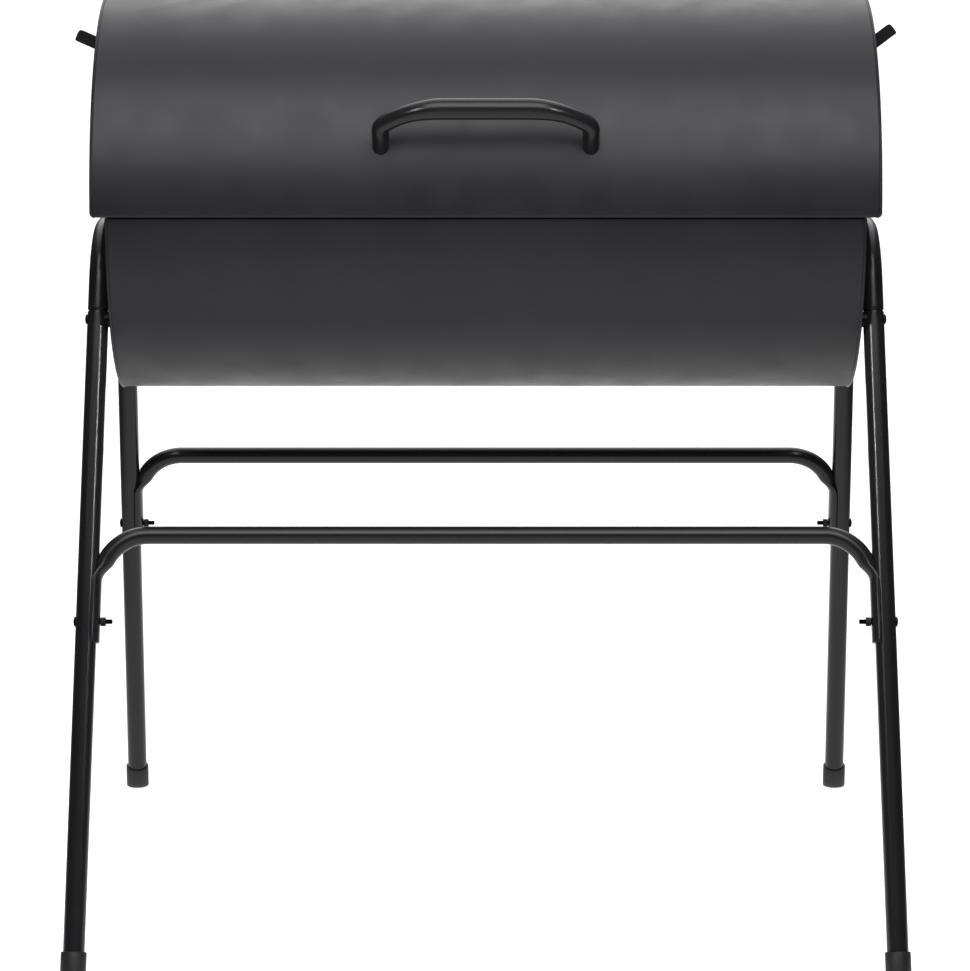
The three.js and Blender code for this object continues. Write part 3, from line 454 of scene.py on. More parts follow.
# %% Legs
LEG_LENGTH = (LEG_TOP - LEG_FLOOR) / LEG_RISE
BASE_ROUND, TOP_ROUND, BORE_ROUND = 0.3, 0.5, 0.2  # roundings of the sawn edges
SHADE_RING = 1.5  # a ring of points this far from each end keeps the shading straight


def leg(side, depth):
    """Straight tube, turned from the outline of its wall."""
    outer, bore, top = LEG_RADIUS, LEG_RADIUS - TUBE_WALL, LEG_LENGTH
    wall = [(0, bore), (0, outer - BASE_ROUND), (BASE_ROUND, outer)]
    wall += [(SHADE_RING, outer), (top - SHADE_RING, outer), (top - TOP_ROUND, outer)]
    wall += [(top - 0.3 * TOP_ROUND, outer - 0.3 * TOP_ROUND), (top, outer - TOP_ROUND)]
    wall += [(top, bore + BORE_ROUND), (top - BORE_ROUND, bore)]
    return turned(wall, on_leg(side, depth, LEG_FLOOR), up_leg(side, depth), closed=True)


for where, side, depth in QUARTERS:
    fit(f"leg_{where}", leg(side, depth), tube_paint)
print("4 legs of", round(LEG_LENGTH), "mm")

# %% [markdown]
# ## Feet
# A foot is a plastic cup pushed over the end of the tube. It is turned square to
# the leg first, and then sliced off level, so that it stands flat on the floor.

# %% Feet
FOOT_TOP, FOOT_FLOOR, FOOT_WALL = 26.0, 8.0, 1.7
RIM_ROUND, SOLE_ROUND = 1.0, 1.6
SPARE = 20.0  # length below the floor, to be sliced off


def foot(side, depth):
    """Cup around the leg's end, cut off level at the floor."""
    inside = LEG_RADIUS + FIT_GAP
    outside = inside + FOOT_WALL
    top, bottom = FOOT_TOP / LEG_RISE, FOOT_FLOOR / LEG_RISE
    cup = [(-SPARE, 0), (-SPARE, outside), (top - RIM_ROUND, outside)]
    cup += [(top - 0.3 * RIM_ROUND, outside - 0.3 * RIM_ROUND), (top, outside - RIM_ROUND)]
    cup += [(top, inside), (bottom, inside), (bottom, 0)]
    mesh = mesh_of(turned(cup, on_leg(side, depth, 0), up_leg(side, depth)), "foot_blank")
    work = bmesh.new()
    work.from_mesh(mesh)
    blank = work.verts[:] + work.edges[:] + work.faces[:]
    floor_plane = {"plane_co": (0, 0, 0), "plane_no": (0, 0, -1)}
    bmesh.ops.bisect_plane(work, geom=blank, clear_outer=True, **floor_plane)
    bmesh.ops.holes_fill(work, edges=[edge for edge in work.edges if edge.is_boundary])
    sole = [edge for edge in work.edges if all(abs(vertex.co.z) < 1e-6 for vertex in edge.verts)]
    rounding = {"offset": 0.001 * SOLE_ROUND, "segments": 3, "profile": 0.5}
    bmesh.ops.bevel(work, geom=sole, affect="EDGES", **rounding)
    points = [1000 * vertex.co for vertex in work.verts]
    faces = [tuple(vertex.index for vertex in face.verts) for face in work.faces]
    work.free()
    return points, faces


for where, side, depth in QUARTERS:
    fit(f"foot_{where}", foot(side, depth), foot_plastic)
print("4 feet")

# %% [markdown]
# ## Bent tubes
# A tube bender pulls a straight tube around a round former, so a bent tube is
# straight runs joined by arcs. `bent_path` rounds each corner of a polyline to
# the radius of the former that it was bent around, and `swept` carries the
# tube's section along that path. The arches over the barrel's ends, the
# crossbars, the handle and the grids' frames are all bent this way.

# %% Bent paths
def bent_path(corners, bends, steps=20):
    """Places and directions along a line with rounded corners, each with its own radius."""
    corners = [Vector(corner) for corner in corners]
    stations = [(corners[0], (corners[1] - corners[0]).normalized(), 0.0)]
    for before, corner, after, bend in zip(corners, corners[1:], corners[2:], bends):
        into, out = (corner - before).normalized(), (after - corner).normalized()
        angle = into.angle(out)
        start = corner - into * bend * math.tan(angle / 2)
        inward = (out - into * out.dot(into)).normalized()
        centre = start + inward * bend
        for k in range(steps + 1):
            turn = angle * k / steps
            at = centre - inward * bend * math.cos(turn) + into * bend * math.sin(turn)
            along = into * math.cos(turn) + inward * math.sin(turn)
            stations.append((at, along, k / steps))
    stations.append((corners[-1], (corners[-1] - corners[-2]).normalized(), 1.0))
    return stations


def circle(radius, sides=32):
    """Round section of a tube."""
    angles = [2 * math.pi * k / sides for k in range(sides)]
    return [(radius * math.cos(angle), radius * math.sin(angle)) for angle in angles]


def swept(stations, normal, section_at):
    """Rings of a section along stations that lie in one plane."""
    rings = []
    for row, (at, along, _) in enumerate(stations):
        across = Vector(normal).cross(along).normalized()
        rings.append([at + across * u + Vector(normal) * w for u, w in section_at(row)])
    return rings


elbow = bent_path([(0, 0, 0), (200, 0, 0), (200, 200, 0)], [68])
print("a bend of 68 mm radius has", len(elbow), "stations")

# %% [markdown]
# Each arch is one piece of the same tube, bent twice. Its ends are necked down,
# so that they slip inside the legs, and a bolt goes through both.

# %% Arches
ARCH_TOP, ARCH_BEND, ARCH_SOCKET, ARCH_SHOULDER = 695.0, 68.0, 55.0, 3.0
NECK = [(0, NECK_RADIUS - 0.3), (0.3, NECK_RADIUS), (ARCH_SOCKET, NECK_RADIUS)]
for beyond, radius in ((0.6, NECK_RADIUS + 0.2), (2.2, LEG_RADIUS - 0.25),
                       (ARCH_SHOULDER, LEG_RADIUS), (ARCH_SHOULDER + 1, LEG_RADIUS)):
    NECK.append((ARCH_SOCKET + beyond, radius))


def necked(stations):
    """Stations of an arch with both ends drawn down, and the tube's radius at each."""
    (first, into, _), (last, out, _) = stations[0], stations[-1]
    start = [((first + into * distance, into, 0.0), radius) for distance, radius in NECK]
    end = [((last - out * distance, out, 1.0), radius) for distance, radius in reversed(NECK)]
    return start + [(station, LEG_RADIUS) for station in stations[1:-1]] + end


for side_name, side in SIDES.items():
    foot_of_arch = LEG_TOP - ARCH_SOCKET * LEG_RISE
    corners = [on_leg(side, -1, foot_of_arch), on_leg(side, -1, ARCH_TOP)]
    corners += [on_leg(side, 1, ARCH_TOP), on_leg(side, 1, foot_of_arch)]
    normal = up_leg(side, 1).cross(Vector((0, 1, 0))).normalized()
    rows = necked(bent_path(corners, [ARCH_BEND] * 2, 28))
    stations = [station for station, _ in rows]
    outside = swept(stations, normal, lambda row: circle(rows[row][1]))
    bore = swept(stations, normal, lambda row: circle(rows[row][1] - TUBE_WALL))
    fit(f"arch_{side_name}", ringed(outside + bore[::-1], closed=True), tube_paint)
print("2 arches")

# %% [markdown]
# ## Crossbars
# The crossbars are tube too, bent down at both ends. Each end is pressed flat in
# a round die, so that it wraps part of the way round the leg: the section goes
# from a circle to a crescent. The crescent is as wide as half the tube's girth,
# because pressing doesn't stretch the steel. Where the round tube would run into
# the leg it is dented instead. The tip's two corners are rounded.

# %% Pressed ends
PRESS_START = 0.7  # share of the bend that stays round
PRESS_GAP = 0.5  # what is left of the bore
PRESS_THICKNESS = 2 * TUBE_WALL + PRESS_GAP
PRESS_INNER = LEG_RADIUS + FIT_GAP
PRESS_MIDDLE = PRESS_INNER + PRESS_THICKNESS / 2
PRESS_ANGLE = math.pi * BAR_RADIUS / 2 / PRESS_MIDDLE
TIP_CORNER = 3.0


def bar_section(pressed, narrow=1.0, sides=48):
    """Section of a crossbar between round (0) and pressed (1), made narrower towards its tip."""
    section = []
    for k, (u, w) in enumerate(circle(BAR_RADIUS, sides)):
        turn = 4 * k / sides
        outside = turn <= 1 or turn >= 3
        share = (turn - 4 if turn >= 3 else turn) if outside else 2 - turn
        angle = PRESS_ANGLE * share * narrow
        edge = math.sqrt(max(0.0, 1 - share ** 8))  # the crescent's two long edges are rounded
        offset = PRESS_THICKNESS / 2 * edge * (1 if outside else -1)
        radius = PRESS_MIDDLE + offset
        crescent = (radius * math.cos(angle) - PRESS_MIDDLE, radius * math.sin(angle))
        section.append((u + (crescent[0] - u) * pressed, w + (crescent[1] - w) * pressed))
    return section


def eased(value, start, end):
    """Goes smoothly from 0 to 1 between start and end."""
    share = min(1, max(0, (value - start) / (end - start)))
    return share * share * (3 - 2 * share)


PRESS_WIDTH = 2 * PRESS_ANGLE * PRESS_MIDDLE
print("pressed end:", round(PRESS_WIDTH, 1), "mm wide and", PRESS_THICKNESS, "mm thick")

# %% Crossbars
def with_tail(stations):
    """Adds places along both straight tails, with how far each is pressed and narrowed."""
    tip = []
    for distance in (0, 0.2, 0.6, 1.2, 2, TIP_CORNER, 8, 16, 28):
        left = TIP_CORNER - min(distance, TIP_CORNER)
        cut = TIP_CORNER - math.sqrt(TIP_CORNER ** 2 - left ** 2)
        tip.append((distance, 1 - cut / (PRESS_ANGLE * PRESS_MIDDLE)))
    (first, into, _), (last, out, _) = stations[0], stations[-1]
    rows = [(first + into * distance, into, 1.0, narrow) for distance, narrow in tip]
    middle = len(stations) / 2
    for row, (at, along, turned_by) in enumerate(stations[1:-1], 1):
        bent = 1 - turned_by if row < middle else turned_by
        rows.append((at, along, eased(bent, PRESS_START, 1), 1.0))
    rows += [(last - out * distance, out, 1.0, narrow) for distance, narrow in reversed(tip)]
    return rows


def off_the_leg(point, depth):
    """The point, moved out to the leg's surface where it would be inside the leg."""
    side = math.copysign(1, point.x)
    axis = up_leg(side, depth)
    start = on_leg(side, depth, 0)
    nearest = start + axis * (point - start).dot(axis)
    away = point - nearest
    return nearest + away * max(1, PRESS_INNER / away.length)


for depth_name, depth in DEPTHS.items():
    low = BAR_HEIGHT - (BAR_BEND + BAR_TAIL) * LEG_RISE
    corners = []
    for side, height in ((-1, low), (-1, BAR_HEIGHT), (1, BAR_HEIGHT), (1, low)):
        corners.append(on_leg(side, depth, height) - Vector((side * PRESS_MIDDLE, 0, 0)))
    slope = -up_leg(1, depth)
    normal = Vector((1, 0, 0)).cross(Vector((0, slope.y, slope.z))).normalized()
    rows = with_tail(bent_path(corners, [BAR_BEND] * 2, 24))
    rings = swept([row[:3] for row in rows], normal, lambda row: bar_section(*rows[row][2:]))
    rings = [[off_the_leg(point, depth) for point in ring] for ring in rings]
    fit(f"crossbar_{depth_name}", ringed(rings), tube_paint)
print("2 crossbars")

# %% [markdown]
# ## Bolts and nuts
# Each bolt has a low domed head on the outside of the leg and a nut on the
# inside. The thread is a stack of grooves one pitch apart. A nut starts as a
# hexagon, and its corners are turned off at both ends, which leaves the curved
# chamfer that every nut has.

# %% Bolts
DOME_HEIGHT = 1.6
HEAD_SEAT = 2.0  # the head is let into the round tube so far that no gap shows beside it
THREAD_LENGTH, THREAD_ROOT = 18.0, 0.86  # the root's radius by the bolt's


def bolt(side, depth, height, tip_x):
    """Bolt along X through a leg, with its tip at tip_x."""
    at = on_leg(side, depth, height)
    length = abs(at.x - tip_x)
    crown, seat = LEG_RADIUS + BOLT_HEAD_HEIGHT, LEG_RADIUS - HEAD_SEAT
    profile = []
    for k in range(8, -1, -1):
        angle = math.radians(90 * k / 8)
        drop = DOME_HEIGHT * (1 - math.sin(angle))
        profile.append((-crown + drop, BOLT_HEAD_RADIUS * math.cos(angle)))
    groove = length - THREAD_LENGTH
    profile += [(-seat, BOLT_HEAD_RADIUS), (-seat, BOLT_RADIUS), (groove, BOLT_RADIUS)]
    while groove < length - 1:
        profile.append((groove + THREAD_PITCH / 2, THREAD_ROOT * BOLT_RADIUS))
        profile.append((groove + THREAD_PITCH, BOLT_RADIUS))
        groove += THREAD_PITCH
    profile += [(length - 0.4, 0.84 * BOLT_RADIUS), (length, 0.7 * BOLT_RADIUS), (length, 0)]
    return turned(profile, at, (-side, 0, 0), 32)


# %% Nuts
NUT_FACE = 0.97  # the faces' radius by the flats'
NUT_CHAMFER = 1.9  # how steeply the corners are turned off
NUT_BORE = BOLT_RADIUS + 0.15


def nut(x_start, x_end, y, z, steps=72):
    """Hexagon nut along X with turned-off corners and a plain hole."""
    flat = NUT_FLATS / 2
    length = abs(x_end - x_start)
    direction = 1 if x_end > x_start else -1
    near = [0, 0.25, 0.5, 0.9, 1.4]
    places = near + [length - along for along in reversed(near)]
    rows = [(along, flat * NUT_FACE + NUT_CHAMFER * min(along, length - along)) for along in places]
    rings = []
    for along, reach in rows + [(length, NUT_BORE), (0, NUT_BORE)]:
        ring = []
        for k in range(steps):
            angle = 2 * math.pi * k / steps
            hexagon = flat / math.cos((angle % (math.pi / 3)) - math.pi / 6)
            radius = min(hexagon, reach)
            across, up = radius * math.cos(angle), radius * math.sin(angle)
            ring.append((x_start + direction * along, y + across, z + up))
        rings.append(ring)
    return ringed(rings, closed=True)


# %% Spacers
SPACER_RADIUS, SPACER_ROUND, SPACER_GAP = 8.0, 0.4, 0.1


def spacer(side, depth, steps=48):
    """Short sleeve between the bowl and the leg, cut to sit against the round tube."""
    axis = on_leg(side, depth, JOINT_HEIGHT)
    up = up_leg(side, depth)
    inner, outer = BOLT_RADIUS + FIT_GAP, SPACER_RADIUS
    rings = []
    for radius, at_leg in ((inner, False), (outer - SPACER_ROUND, False), (outer, False),
                           (outer, True), (inner, True)):
        ring = []
        for k in range(steps):
            angle = 2 * math.pi * k / steps
            y, z = radius * math.cos(angle), radius * math.sin(angle)
            beside = y * up.z - z * up.y
            x = BOWL_END + FIT_GAP
            if at_leg:
                x = JOINT_X - math.sqrt((LEG_RADIUS + SPACER_GAP) ** 2 - beside ** 2)
            ring.append((side * x, axis.y + y, axis.z + z))
        rings.append(ring)
    return ringed(rings, closed=True)


print("bolt, nut and spacer ready")

# %% Bolts, nuts and spacers on the stand
JOINT_THREAD, BAR_THREAD = 3.0, 6.5  # thread that shows beyond each nut
JOINT_SEAT = BOWL_END - SHEET - FIT_GAP
BAR_BOLT_HEIGHT = BAR_HEIGHT - (BAR_BEND + BAR_BOLT) * LEG_RISE


def fit_bolt(kind, where, height, seat, thread):
    """A bolt at a height on a leg, with its nut against a face at so much X."""
    name, side, depth = where
    _, y, z = on_leg(side, depth, height)
    far = seat - NUT_HEIGHT
    tip = far - thread
    fit(f"{kind}_bolt_{name}", bolt(side, depth, height, side * tip), fastener_steel)
    fit(f"{kind}_nut_{name}", nut(side * seat, side * far, y, z), fastener_steel)


for where in QUARTERS:
    name, side, depth = where
    fit_bolt("joint", where, JOINT_HEIGHT, JOINT_SEAT, JOINT_THREAD)
    fit(f"joint_spacer_{name}", spacer(side, depth), fastener_steel)
    seat = on_leg(1, depth, BAR_BOLT_HEIGHT).x - PRESS_INNER - PRESS_THICKNESS - FIT_GAP
    fit_bolt("bar", where, BAR_BOLT_HEIGHT, seat, BAR_THREAD)
print("8 bolts, 8 nuts and 4 spacers")

# %% [markdown]
# ## Lid and bowl
# Each is a sheet rolled to a half circle. Its long edges are folded inwards,
# which hides the cut edge and stiffens it, and the lid's fold rests on the
# bowl's. The lower corners of the lid are rounded. `corner_end` says where the
# sheet ends at each height, so that every piece follows the same round corner.

# %% Sheet outlines
LID_HEM, LID_FOLD, LID_CORNER = 10.0, 3.0, 5.0
BOWL_HEM, BOWL_FOLD, BOWL_CORNER = 8.0, 2.0, 2.0


def on_barrel(shape, up=1):
    """Moves a shape drawn about the barrel's axis to its height, turned over for the bowl."""
    drop = 0 if up > 0 else FIT_GAP
    points, faces = shape
    return [Vector((p.x, p.y, AXIS_HEIGHT + up * p.z - drop)) for p in points], faces


def arc(y, z, radius, start, end, steps):
    """Points on an arc between two angles in degrees."""
    angles = [math.radians(start + (end - start) * k / steps) for k in range(steps + 1)]
    return [(y + radius * math.cos(angle), z + radius * math.sin(angle)) for angle in angles]


def shell_wall(radius, hem, fold, inset):
    """Outline from one folded edge over the top to the other, so far inside the surface."""
    edge = math.degrees(math.asin(fold / radius))
    right = [(radius - hem, inset)] + arc(radius - fold, fold, fold - inset, -90, 0, 6)
    crown = arc(0, 0, radius - inset, edge, 180 - edge, 120)[1:-1]
    left = arc(fold - radius, fold, fold - inset, 180, 270, 6) + [(hem - radius, inset)]
    return right + crown + left


def corner_end(end, corner, height):
    """Where a barrel's end is at a height above the split, around its rounded corner."""
    if height >= corner:
        return end
    return end - corner + math.sqrt(max(0.0, corner ** 2 - (corner - height) ** 2))


def barrel_shell(radius, end, hem, fold, corner, up):
    """Half-round sheet with folded edges, above (1) or below (-1) the split."""
    grids = []
    for inset in (0, SHEET):
        wall = shell_wall(radius, hem, fold, inset)
        grid = []
        for share in (-1, -0.97, -0.5, 0, 0.5, 0.97, 1):
            row = []
            for y, z in wall:
                reach = corner_end(end, corner, z) - SEAM_WIDTH - FIT_GAP
                row.append((share * reach, y, z))
            grid.append(row)
        grids.append(grid)
    return on_barrel(sheeted(*grids), up)


lid_shell = barrel_shell(LID_RADIUS, LID_END, LID_HEM, LID_FOLD, LID_CORNER, 1)
bowl_shell = barrel_shell(BOWL_RADIUS, BOWL_END, BOWL_HEM, BOWL_FOLD, BOWL_CORNER, -1)
fit("lid_shell", lid_shell, barrel_paint, 0.25)
fit("bowl_shell", bowl_shell, barrel_paint, 0.25)
print("lid and bowl shells")

# %% [markdown]
# ## Barrel ends
# Each end is a flat pressed sheet. Its round edge is rolled over the edge of the
# shell, like the seam of a tin can, and stands a little proud of it. A flange
# inside stiffens the seam. Along the split the sheet folds inwards, like the
# shell's edges. The lid's ends are pierced for the air dampers.

# %% Barrel ends
LID_END_HEM, BOWL_END_HEM = 16.0, 12.0


def end_plate(radius, end, corner, hem_length, shell_hem):
    """The flat sheet of an end, with its fold along the split, between the shell's folds."""
    inside = radius - SHEET - FIT_GAP
    fold_edge = radius - shell_hem - FIT_GAP
    widths = [inside * math.sin(math.radians(89.2 * k / 36)) for k in range(37)]
    widths = sorted(set(widths + [fold_edge, fold_edge + 0.05]))
    widths = [-width for width in reversed(widths[1:])] + widths
    grids = []
    for inset in (0, SHEET):
        grid = []
        for y in widths:
            hem = hem_length if abs(y) <= fold_edge else corner + 0.01
            top = math.sqrt(inside ** 2 - y ** 2)
            row = [(end - hem, inset)] + arc(end - corner, corner, corner - inset, -90, 0, 6)
            row.append((end - inset, max(top, corner + 0.02)))
            grid.append([(x, y, z) for x, z in row])
        grids.append(grid)
    return sheeted(*grids)


def rolled_seam(radius, end, corner):
    """Bead around the end's edge, rounded by a millimetre and proud of the shell."""
    low, high = radius - SHEET - FIT_GAP - 1, radius + SEAM_PROUD
    bead = set()
    for x, r, start, turn in ((1.5, high - 1, 90, -90), (1, high - 1, 180, 90),
                              (1, low + 1, 180, 90), (1.5, low + 1, 270, 90)):
        for k in range(5):
            angle = math.radians(start + turn * k / 4)
            bead.add((round(x + math.cos(angle), 4), round(r + math.sin(angle), 4)))
    middle = (low + high) / 2
    bead = sorted(bead, key=lambda at: math.atan2(at[1] - middle, at[0] - SEAM_WIDTH / 2))
    first = [0.06, 0.2, 0.4, 0.65, 0.95, 1.4, 2.2]  # degrees, close together at the corners
    angles = first + [3 + 174 * k / 110 for k in range(111)] + [180 - a for a in reversed(first)]
    rings = []
    for angle in angles:
        across, up = math.cos(math.radians(angle)), math.sin(math.radians(angle))
        rings.append([(corner_end(end, corner, r * up) - SEAM_WIDTH + x, r * across, r * up)
                      for x, r in bead])
    return ringed(rings)


def end_flange(radius, end):
    """Band inside the shell that the seam is rolled from."""
    outside = radius - SHEET - FIT_GAP
    angles = [math.radians(2 + 176 * k / 90) for k in range(91)]
    grids = []
    for r in (outside, outside - SHEET):
        grids.append([[(x, r * math.cos(a), r * math.sin(a)) for x in (end - END_FLANGE, end - 0.6)]
                      for a in angles])
    return sheeted(*grids)


print("plate, seam and flange ready")

# %% Ends fitted
DAMPER_RISE, DAMPER_RADIUS, DAMPER_SHEET = 95.0, 52.0, 1.5
VENTS, VENT_RADIUS, VENT_CIRCLE, RIVET_RADIUS = 3, 13.0, 30.0, 3.0
DRILL = 30.0  # how far a drill reaches each way
LID_VENT_TURN = 60  # degrees between the lid's vents and the closed damper's


def drill(radius, at, steps):
    """Round cutter along X."""
    profile = [(-DRILL, 0), (-DRILL, radius), (DRILL, radius), (DRILL, 0)]
    return turned(profile, at, (1, 0, 0), steps)


def vent_cutters(x, z, first_angle):
    """Drills for the vents and the rivet hole."""
    bits = [drill(RIVET_RADIUS, (x, 0, z), 32)]
    for k in range(VENTS):
        angle = math.radians(first_angle + 360 * k / VENTS)
        at = (x, VENT_CIRCLE * math.sin(angle), z + VENT_CIRCLE * math.cos(angle))
        bits.append(drill(VENT_RADIUS, at, 48))
    return bits


lid_plate = end_plate(LID_RADIUS, LID_END, LID_CORNER, LID_END_HEM, LID_HEM)
lid_plate = drilled(lid_plate, vent_cutters(LID_END, DAMPER_RISE, LID_VENT_TURN))
bowl_plate = end_plate(BOWL_RADIUS, BOWL_END, BOWL_CORNER, BOWL_END_HEM, BOWL_HEM)
ends = []
for plate, radius, end, corner in ((lid_plate, LID_RADIUS, LID_END, LID_CORNER),
                                   (bowl_plate, BOWL_RADIUS, BOWL_END, BOWL_CORNER)):
    ends.append(together([plate, rolled_seam(radius, end, corner), end_flange(radius, end)]))
lid_end, bowl_end = ends
for side_name, side in SIDES.items():
    fit(f"lid_end_{side_name}", mirrored(on_barrel(lid_end), side), barrel_paint)
    fit(f"bowl_end_{side_name}", mirrored(on_barrel(bowl_end, -1), side), barrel_paint)
print("4 barrel ends")

# %% [markdown]
# ## Air dampers
# A damper is a disc with the same holes as the lid's end, held by one rivet.
# Turning it by its finger tab lines the holes up and lets air through. The tab
# is an ear of the same sheet, folded outwards and then pulled up a little by
# hand, more on one side than on the other.

# %% Dampers
TAB_WIDTH, TAB_REACH, TAB_ROOT = 12.6, 33.0, 9.0
TAB_LEAN = {"left": 24, "right": 37}
EAR_BACK, EAR_FRONT, EAR_OVERLAP = -6.3, 0.7, 8.0
SHEET_ROUND = 0.3


def rounded_corners(outline, radii, steps=6):
    """Outline with each corner rounded to its own radius."""
    result = []
    for k, radius in enumerate(radii):
        corner = Vector(outline[k])
        back = Vector(outline[k - 1]) - corner
        ahead = Vector(outline[(k + 1) % len(outline)]) - corner
        if radius == 0:
            result.append(tuple(corner))
            continue
        half = back.angle(ahead) / 2
        reach = min(radius / math.tan(half), 0.49 * back.length, 0.49 * ahead.length)
        first, last = corner + back.normalized() * reach, corner + ahead.normalized() * reach
        for i in range(steps + 1):
            share = i / steps
            near = first.lerp(corner, share)
            result.append(tuple(near.lerp(corner.lerp(last, share), share)))
    return result


def slab(outline, thickness, place):
    """Flat plate from an outline. `place` puts (u, v, depth) in space."""
    rings = [[place(u, v, depth) for u, v in outline] for depth in (-thickness / 2, thickness / 2)]
    return ringed(rings)


def damper(lean):
    """Disc with vents and its folded finger tab, at the right end, about the rivet."""
    inner, outer, rim = FIT_GAP, FIT_GAP + DAMPER_SHEET, DAMPER_RADIUS
    middle = FIT_GAP + DAMPER_SHEET / 2
    profile = [(inner, 0), (inner, rim - SHEET_ROUND), (inner + SHEET_ROUND, rim)]
    profile += [(outer - SHEET_ROUND, rim), (outer, rim - SHEET_ROUND), (outer, 0)]
    disc = drilled(turned(profile, (0, 0, 0), (1, 0, 0), 96), vent_cutters(0, 0, 0))
    low = rim - 0.5
    ear = [(EAR_BACK, low - EAR_OVERLAP), (EAR_FRONT, low - EAR_OVERLAP)]
    ear += [(EAR_FRONT, low + TAB_WIDTH), (EAR_BACK, low + TAB_WIDTH)]
    ear = rounded_corners(ear, [0, 0, 0.5, 4])
    ear = slab(ear, DAMPER_SHEET, lambda u, v, depth: (middle + depth, u, v))
    slope = math.radians(lean)
    rise = (TAB_REACH - TAB_ROOT) * math.tan(slope)
    tip = (TAB_REACH, low + rise)
    upper = (tip[0] - TAB_WIDTH * math.sin(slope), tip[1] + TAB_WIDTH * math.cos(slope))
    bend = (TAB_ROOT - TAB_WIDTH * math.tan(slope / 2), low + TAB_WIDTH)
    tab = [(FIT_GAP, low), (TAB_ROOT, low), tip, upper, bend, (FIT_GAP, low + TAB_WIDTH)]
    tab = rounded_corners(tab, [0, 14, 2.5, 4, 14, 0])
    tab = slab(tab, DAMPER_SHEET, lambda u, v, depth: (u, depth, v))
    return together([disc, ear, tab])


RIVET_HEAD, RIVET_DOME = 7.0, 2.5


def rivet():
    """Domed rivet with its spread tail inside the lid."""
    out, tail = DAMPER_SHEET + 2 * FIT_GAP, -SHEET - FIT_GAP
    profile = [(tail - 2, 0), (tail - 2, 3), (tail - 1.6, 4.2), (tail - 0.4, 4.9), (tail, 4.9)]
    profile += [(tail, RIVET_RADIUS), (out, RIVET_RADIUS), (out, RIVET_HEAD)]
    for degrees in range(15, 91, 15):
        angle = math.radians(degrees)
        profile.append((out + RIVET_DOME * math.sin(angle), RIVET_HEAD * math.cos(angle)))
    return turned(profile, (0, 0, 0), (1, 0, 0), 40)


hub = (LID_END, 0, AXIS_HEIGHT + DAMPER_RISE)
for side_name, side in SIDES.items():
    turning = moved(damper(TAB_LEAN[side_name]), hub)
    fit(f"damper_{side_name}", mirrored(turning, side), barrel_paint, 0.15)
    fit(f"damper_rivet_{side_name}", mirrored(moved(rivet(), hub), side), fastener_steel)
print("2 dampers and their rivets")

# %% [markdown]
# ## Lid handle
# The handle is a bent tube that stands out from the lid at a slant, so that the
# fingers stay off the hot steel. Each post has a tight elbow at its end, the arms
# bow gently into the grip, and the tube is wider where it is held. Its two ends
# are cut to sit against the round lid. Each point of the first ring slides along
# the tube until it is on the lid's surface, which is how a tube is notched.

# %% Handle
HANDLE_RADIUS, GRIP_RADIUS, HANDLE_SPACING = 8.5, 10.5, 204.0
HANDLE_POST, HANDLE_REACH, ELBOW_BEND, GRIP_BEND = 30.0, 56.0, 16.0, 84.0
HANDLE_SEAT, HANDLE_TILT, HANDLE_SLOPE = 20, 45, 41  # degrees: place on lid, posts, arms
POST_START = 5.0  # along the post, before its end is cut to the lid
ARM_ACROSS = (HANDLE_REACH - HANDLE_POST) / math.tan(math.radians(HANDLE_SLOPE))
seat_angle, tilt = math.radians(HANDLE_SEAT), math.radians(HANDLE_TILT)
post_along = Vector((0, -math.cos(tilt), math.sin(tilt)))


def on_post(side, along):
    """Point on a handle post's axis, from where it meets the lid towards the grip."""
    y, z = -LID_RADIUS * math.cos(seat_angle), AXIS_HEIGHT + LID_RADIUS * math.sin(seat_angle)
    return Vector((side * HANDLE_SPACING / 2, y, z)) + post_along * along


def slid_to_lid(point):
    """Slides a point along its post until it is just outside the lid."""
    y, z = point.y, point.z - AXIS_HEIGHT
    outward = y * post_along.y + z * post_along.z
    beyond = y * y + z * z - (LID_RADIUS + FIT_GAP) ** 2
    return point + post_along * (-outward + math.sqrt(outward ** 2 - beyond))


across = Vector((ARM_ACROSS, 0, 0))
corners = [on_post(-1, POST_START), on_post(-1, HANDLE_POST), on_post(-1, HANDLE_REACH) + across]
corners += [on_post(1, HANDLE_REACH) - across, on_post(1, HANDLE_POST), on_post(1, POST_START)]
stations = bent_path(corners, [ELBOW_BEND, GRIP_BEND, GRIP_BEND, ELBOW_BEND], 28)
normal = Vector((1, 0, 0)).cross(post_along).normalized()


def grip_section(row):
    """Round section that is wider in the middle of the handle than at its posts."""
    from_post = HANDLE_SPACING / 2 - abs(stations[row][0].x)
    widened = eased(from_post, ELBOW_BEND, 2 * ARM_ACROSS)
    return circle(HANDLE_RADIUS + (GRIP_RADIUS - HANDLE_RADIUS) * widened, 40)


rings = swept(stations, normal, grip_section)
for row in (0, -1):
    rings[row] = [slid_to_lid(point) for point in rings[row]]
fit("lid_handle", ringed(rings), tube_paint, 0.4, 50)
print("lid handle")

# %% Handle screws
SCREW_RADIUS, SCREW_HEAD, SCREW_REACH = 2.5, 5.5, 15.0
screw = [(-5, 0), (-4.9, 2.4), (-4.2, 4.2), (-3, 5.2), (-1.5, SCREW_HEAD), (1, SCREW_HEAD)]
screw += [(1, SCREW_RADIUS), (SCREW_REACH, SCREW_RADIUS), (SCREW_REACH, 0)]
for side_name, side in SIDES.items():
    inside = on_post(side, -SHEET - 2 * FIT_GAP)
    fit(f"handle_screw_{side_name}", turned(screw, inside, post_along, 32), fastener_steel)
print("2 handle screws")

# %% [markdown]
# ## Hinges
# Two strap hinges join the lid to the bowl at the back. Each leaf is a strip of
# sheet that follows the shell's curve and ends in a rolled knuckle around the
# pin. The bowl's leaf has the middle knuckle, and the lid's has one on each side.

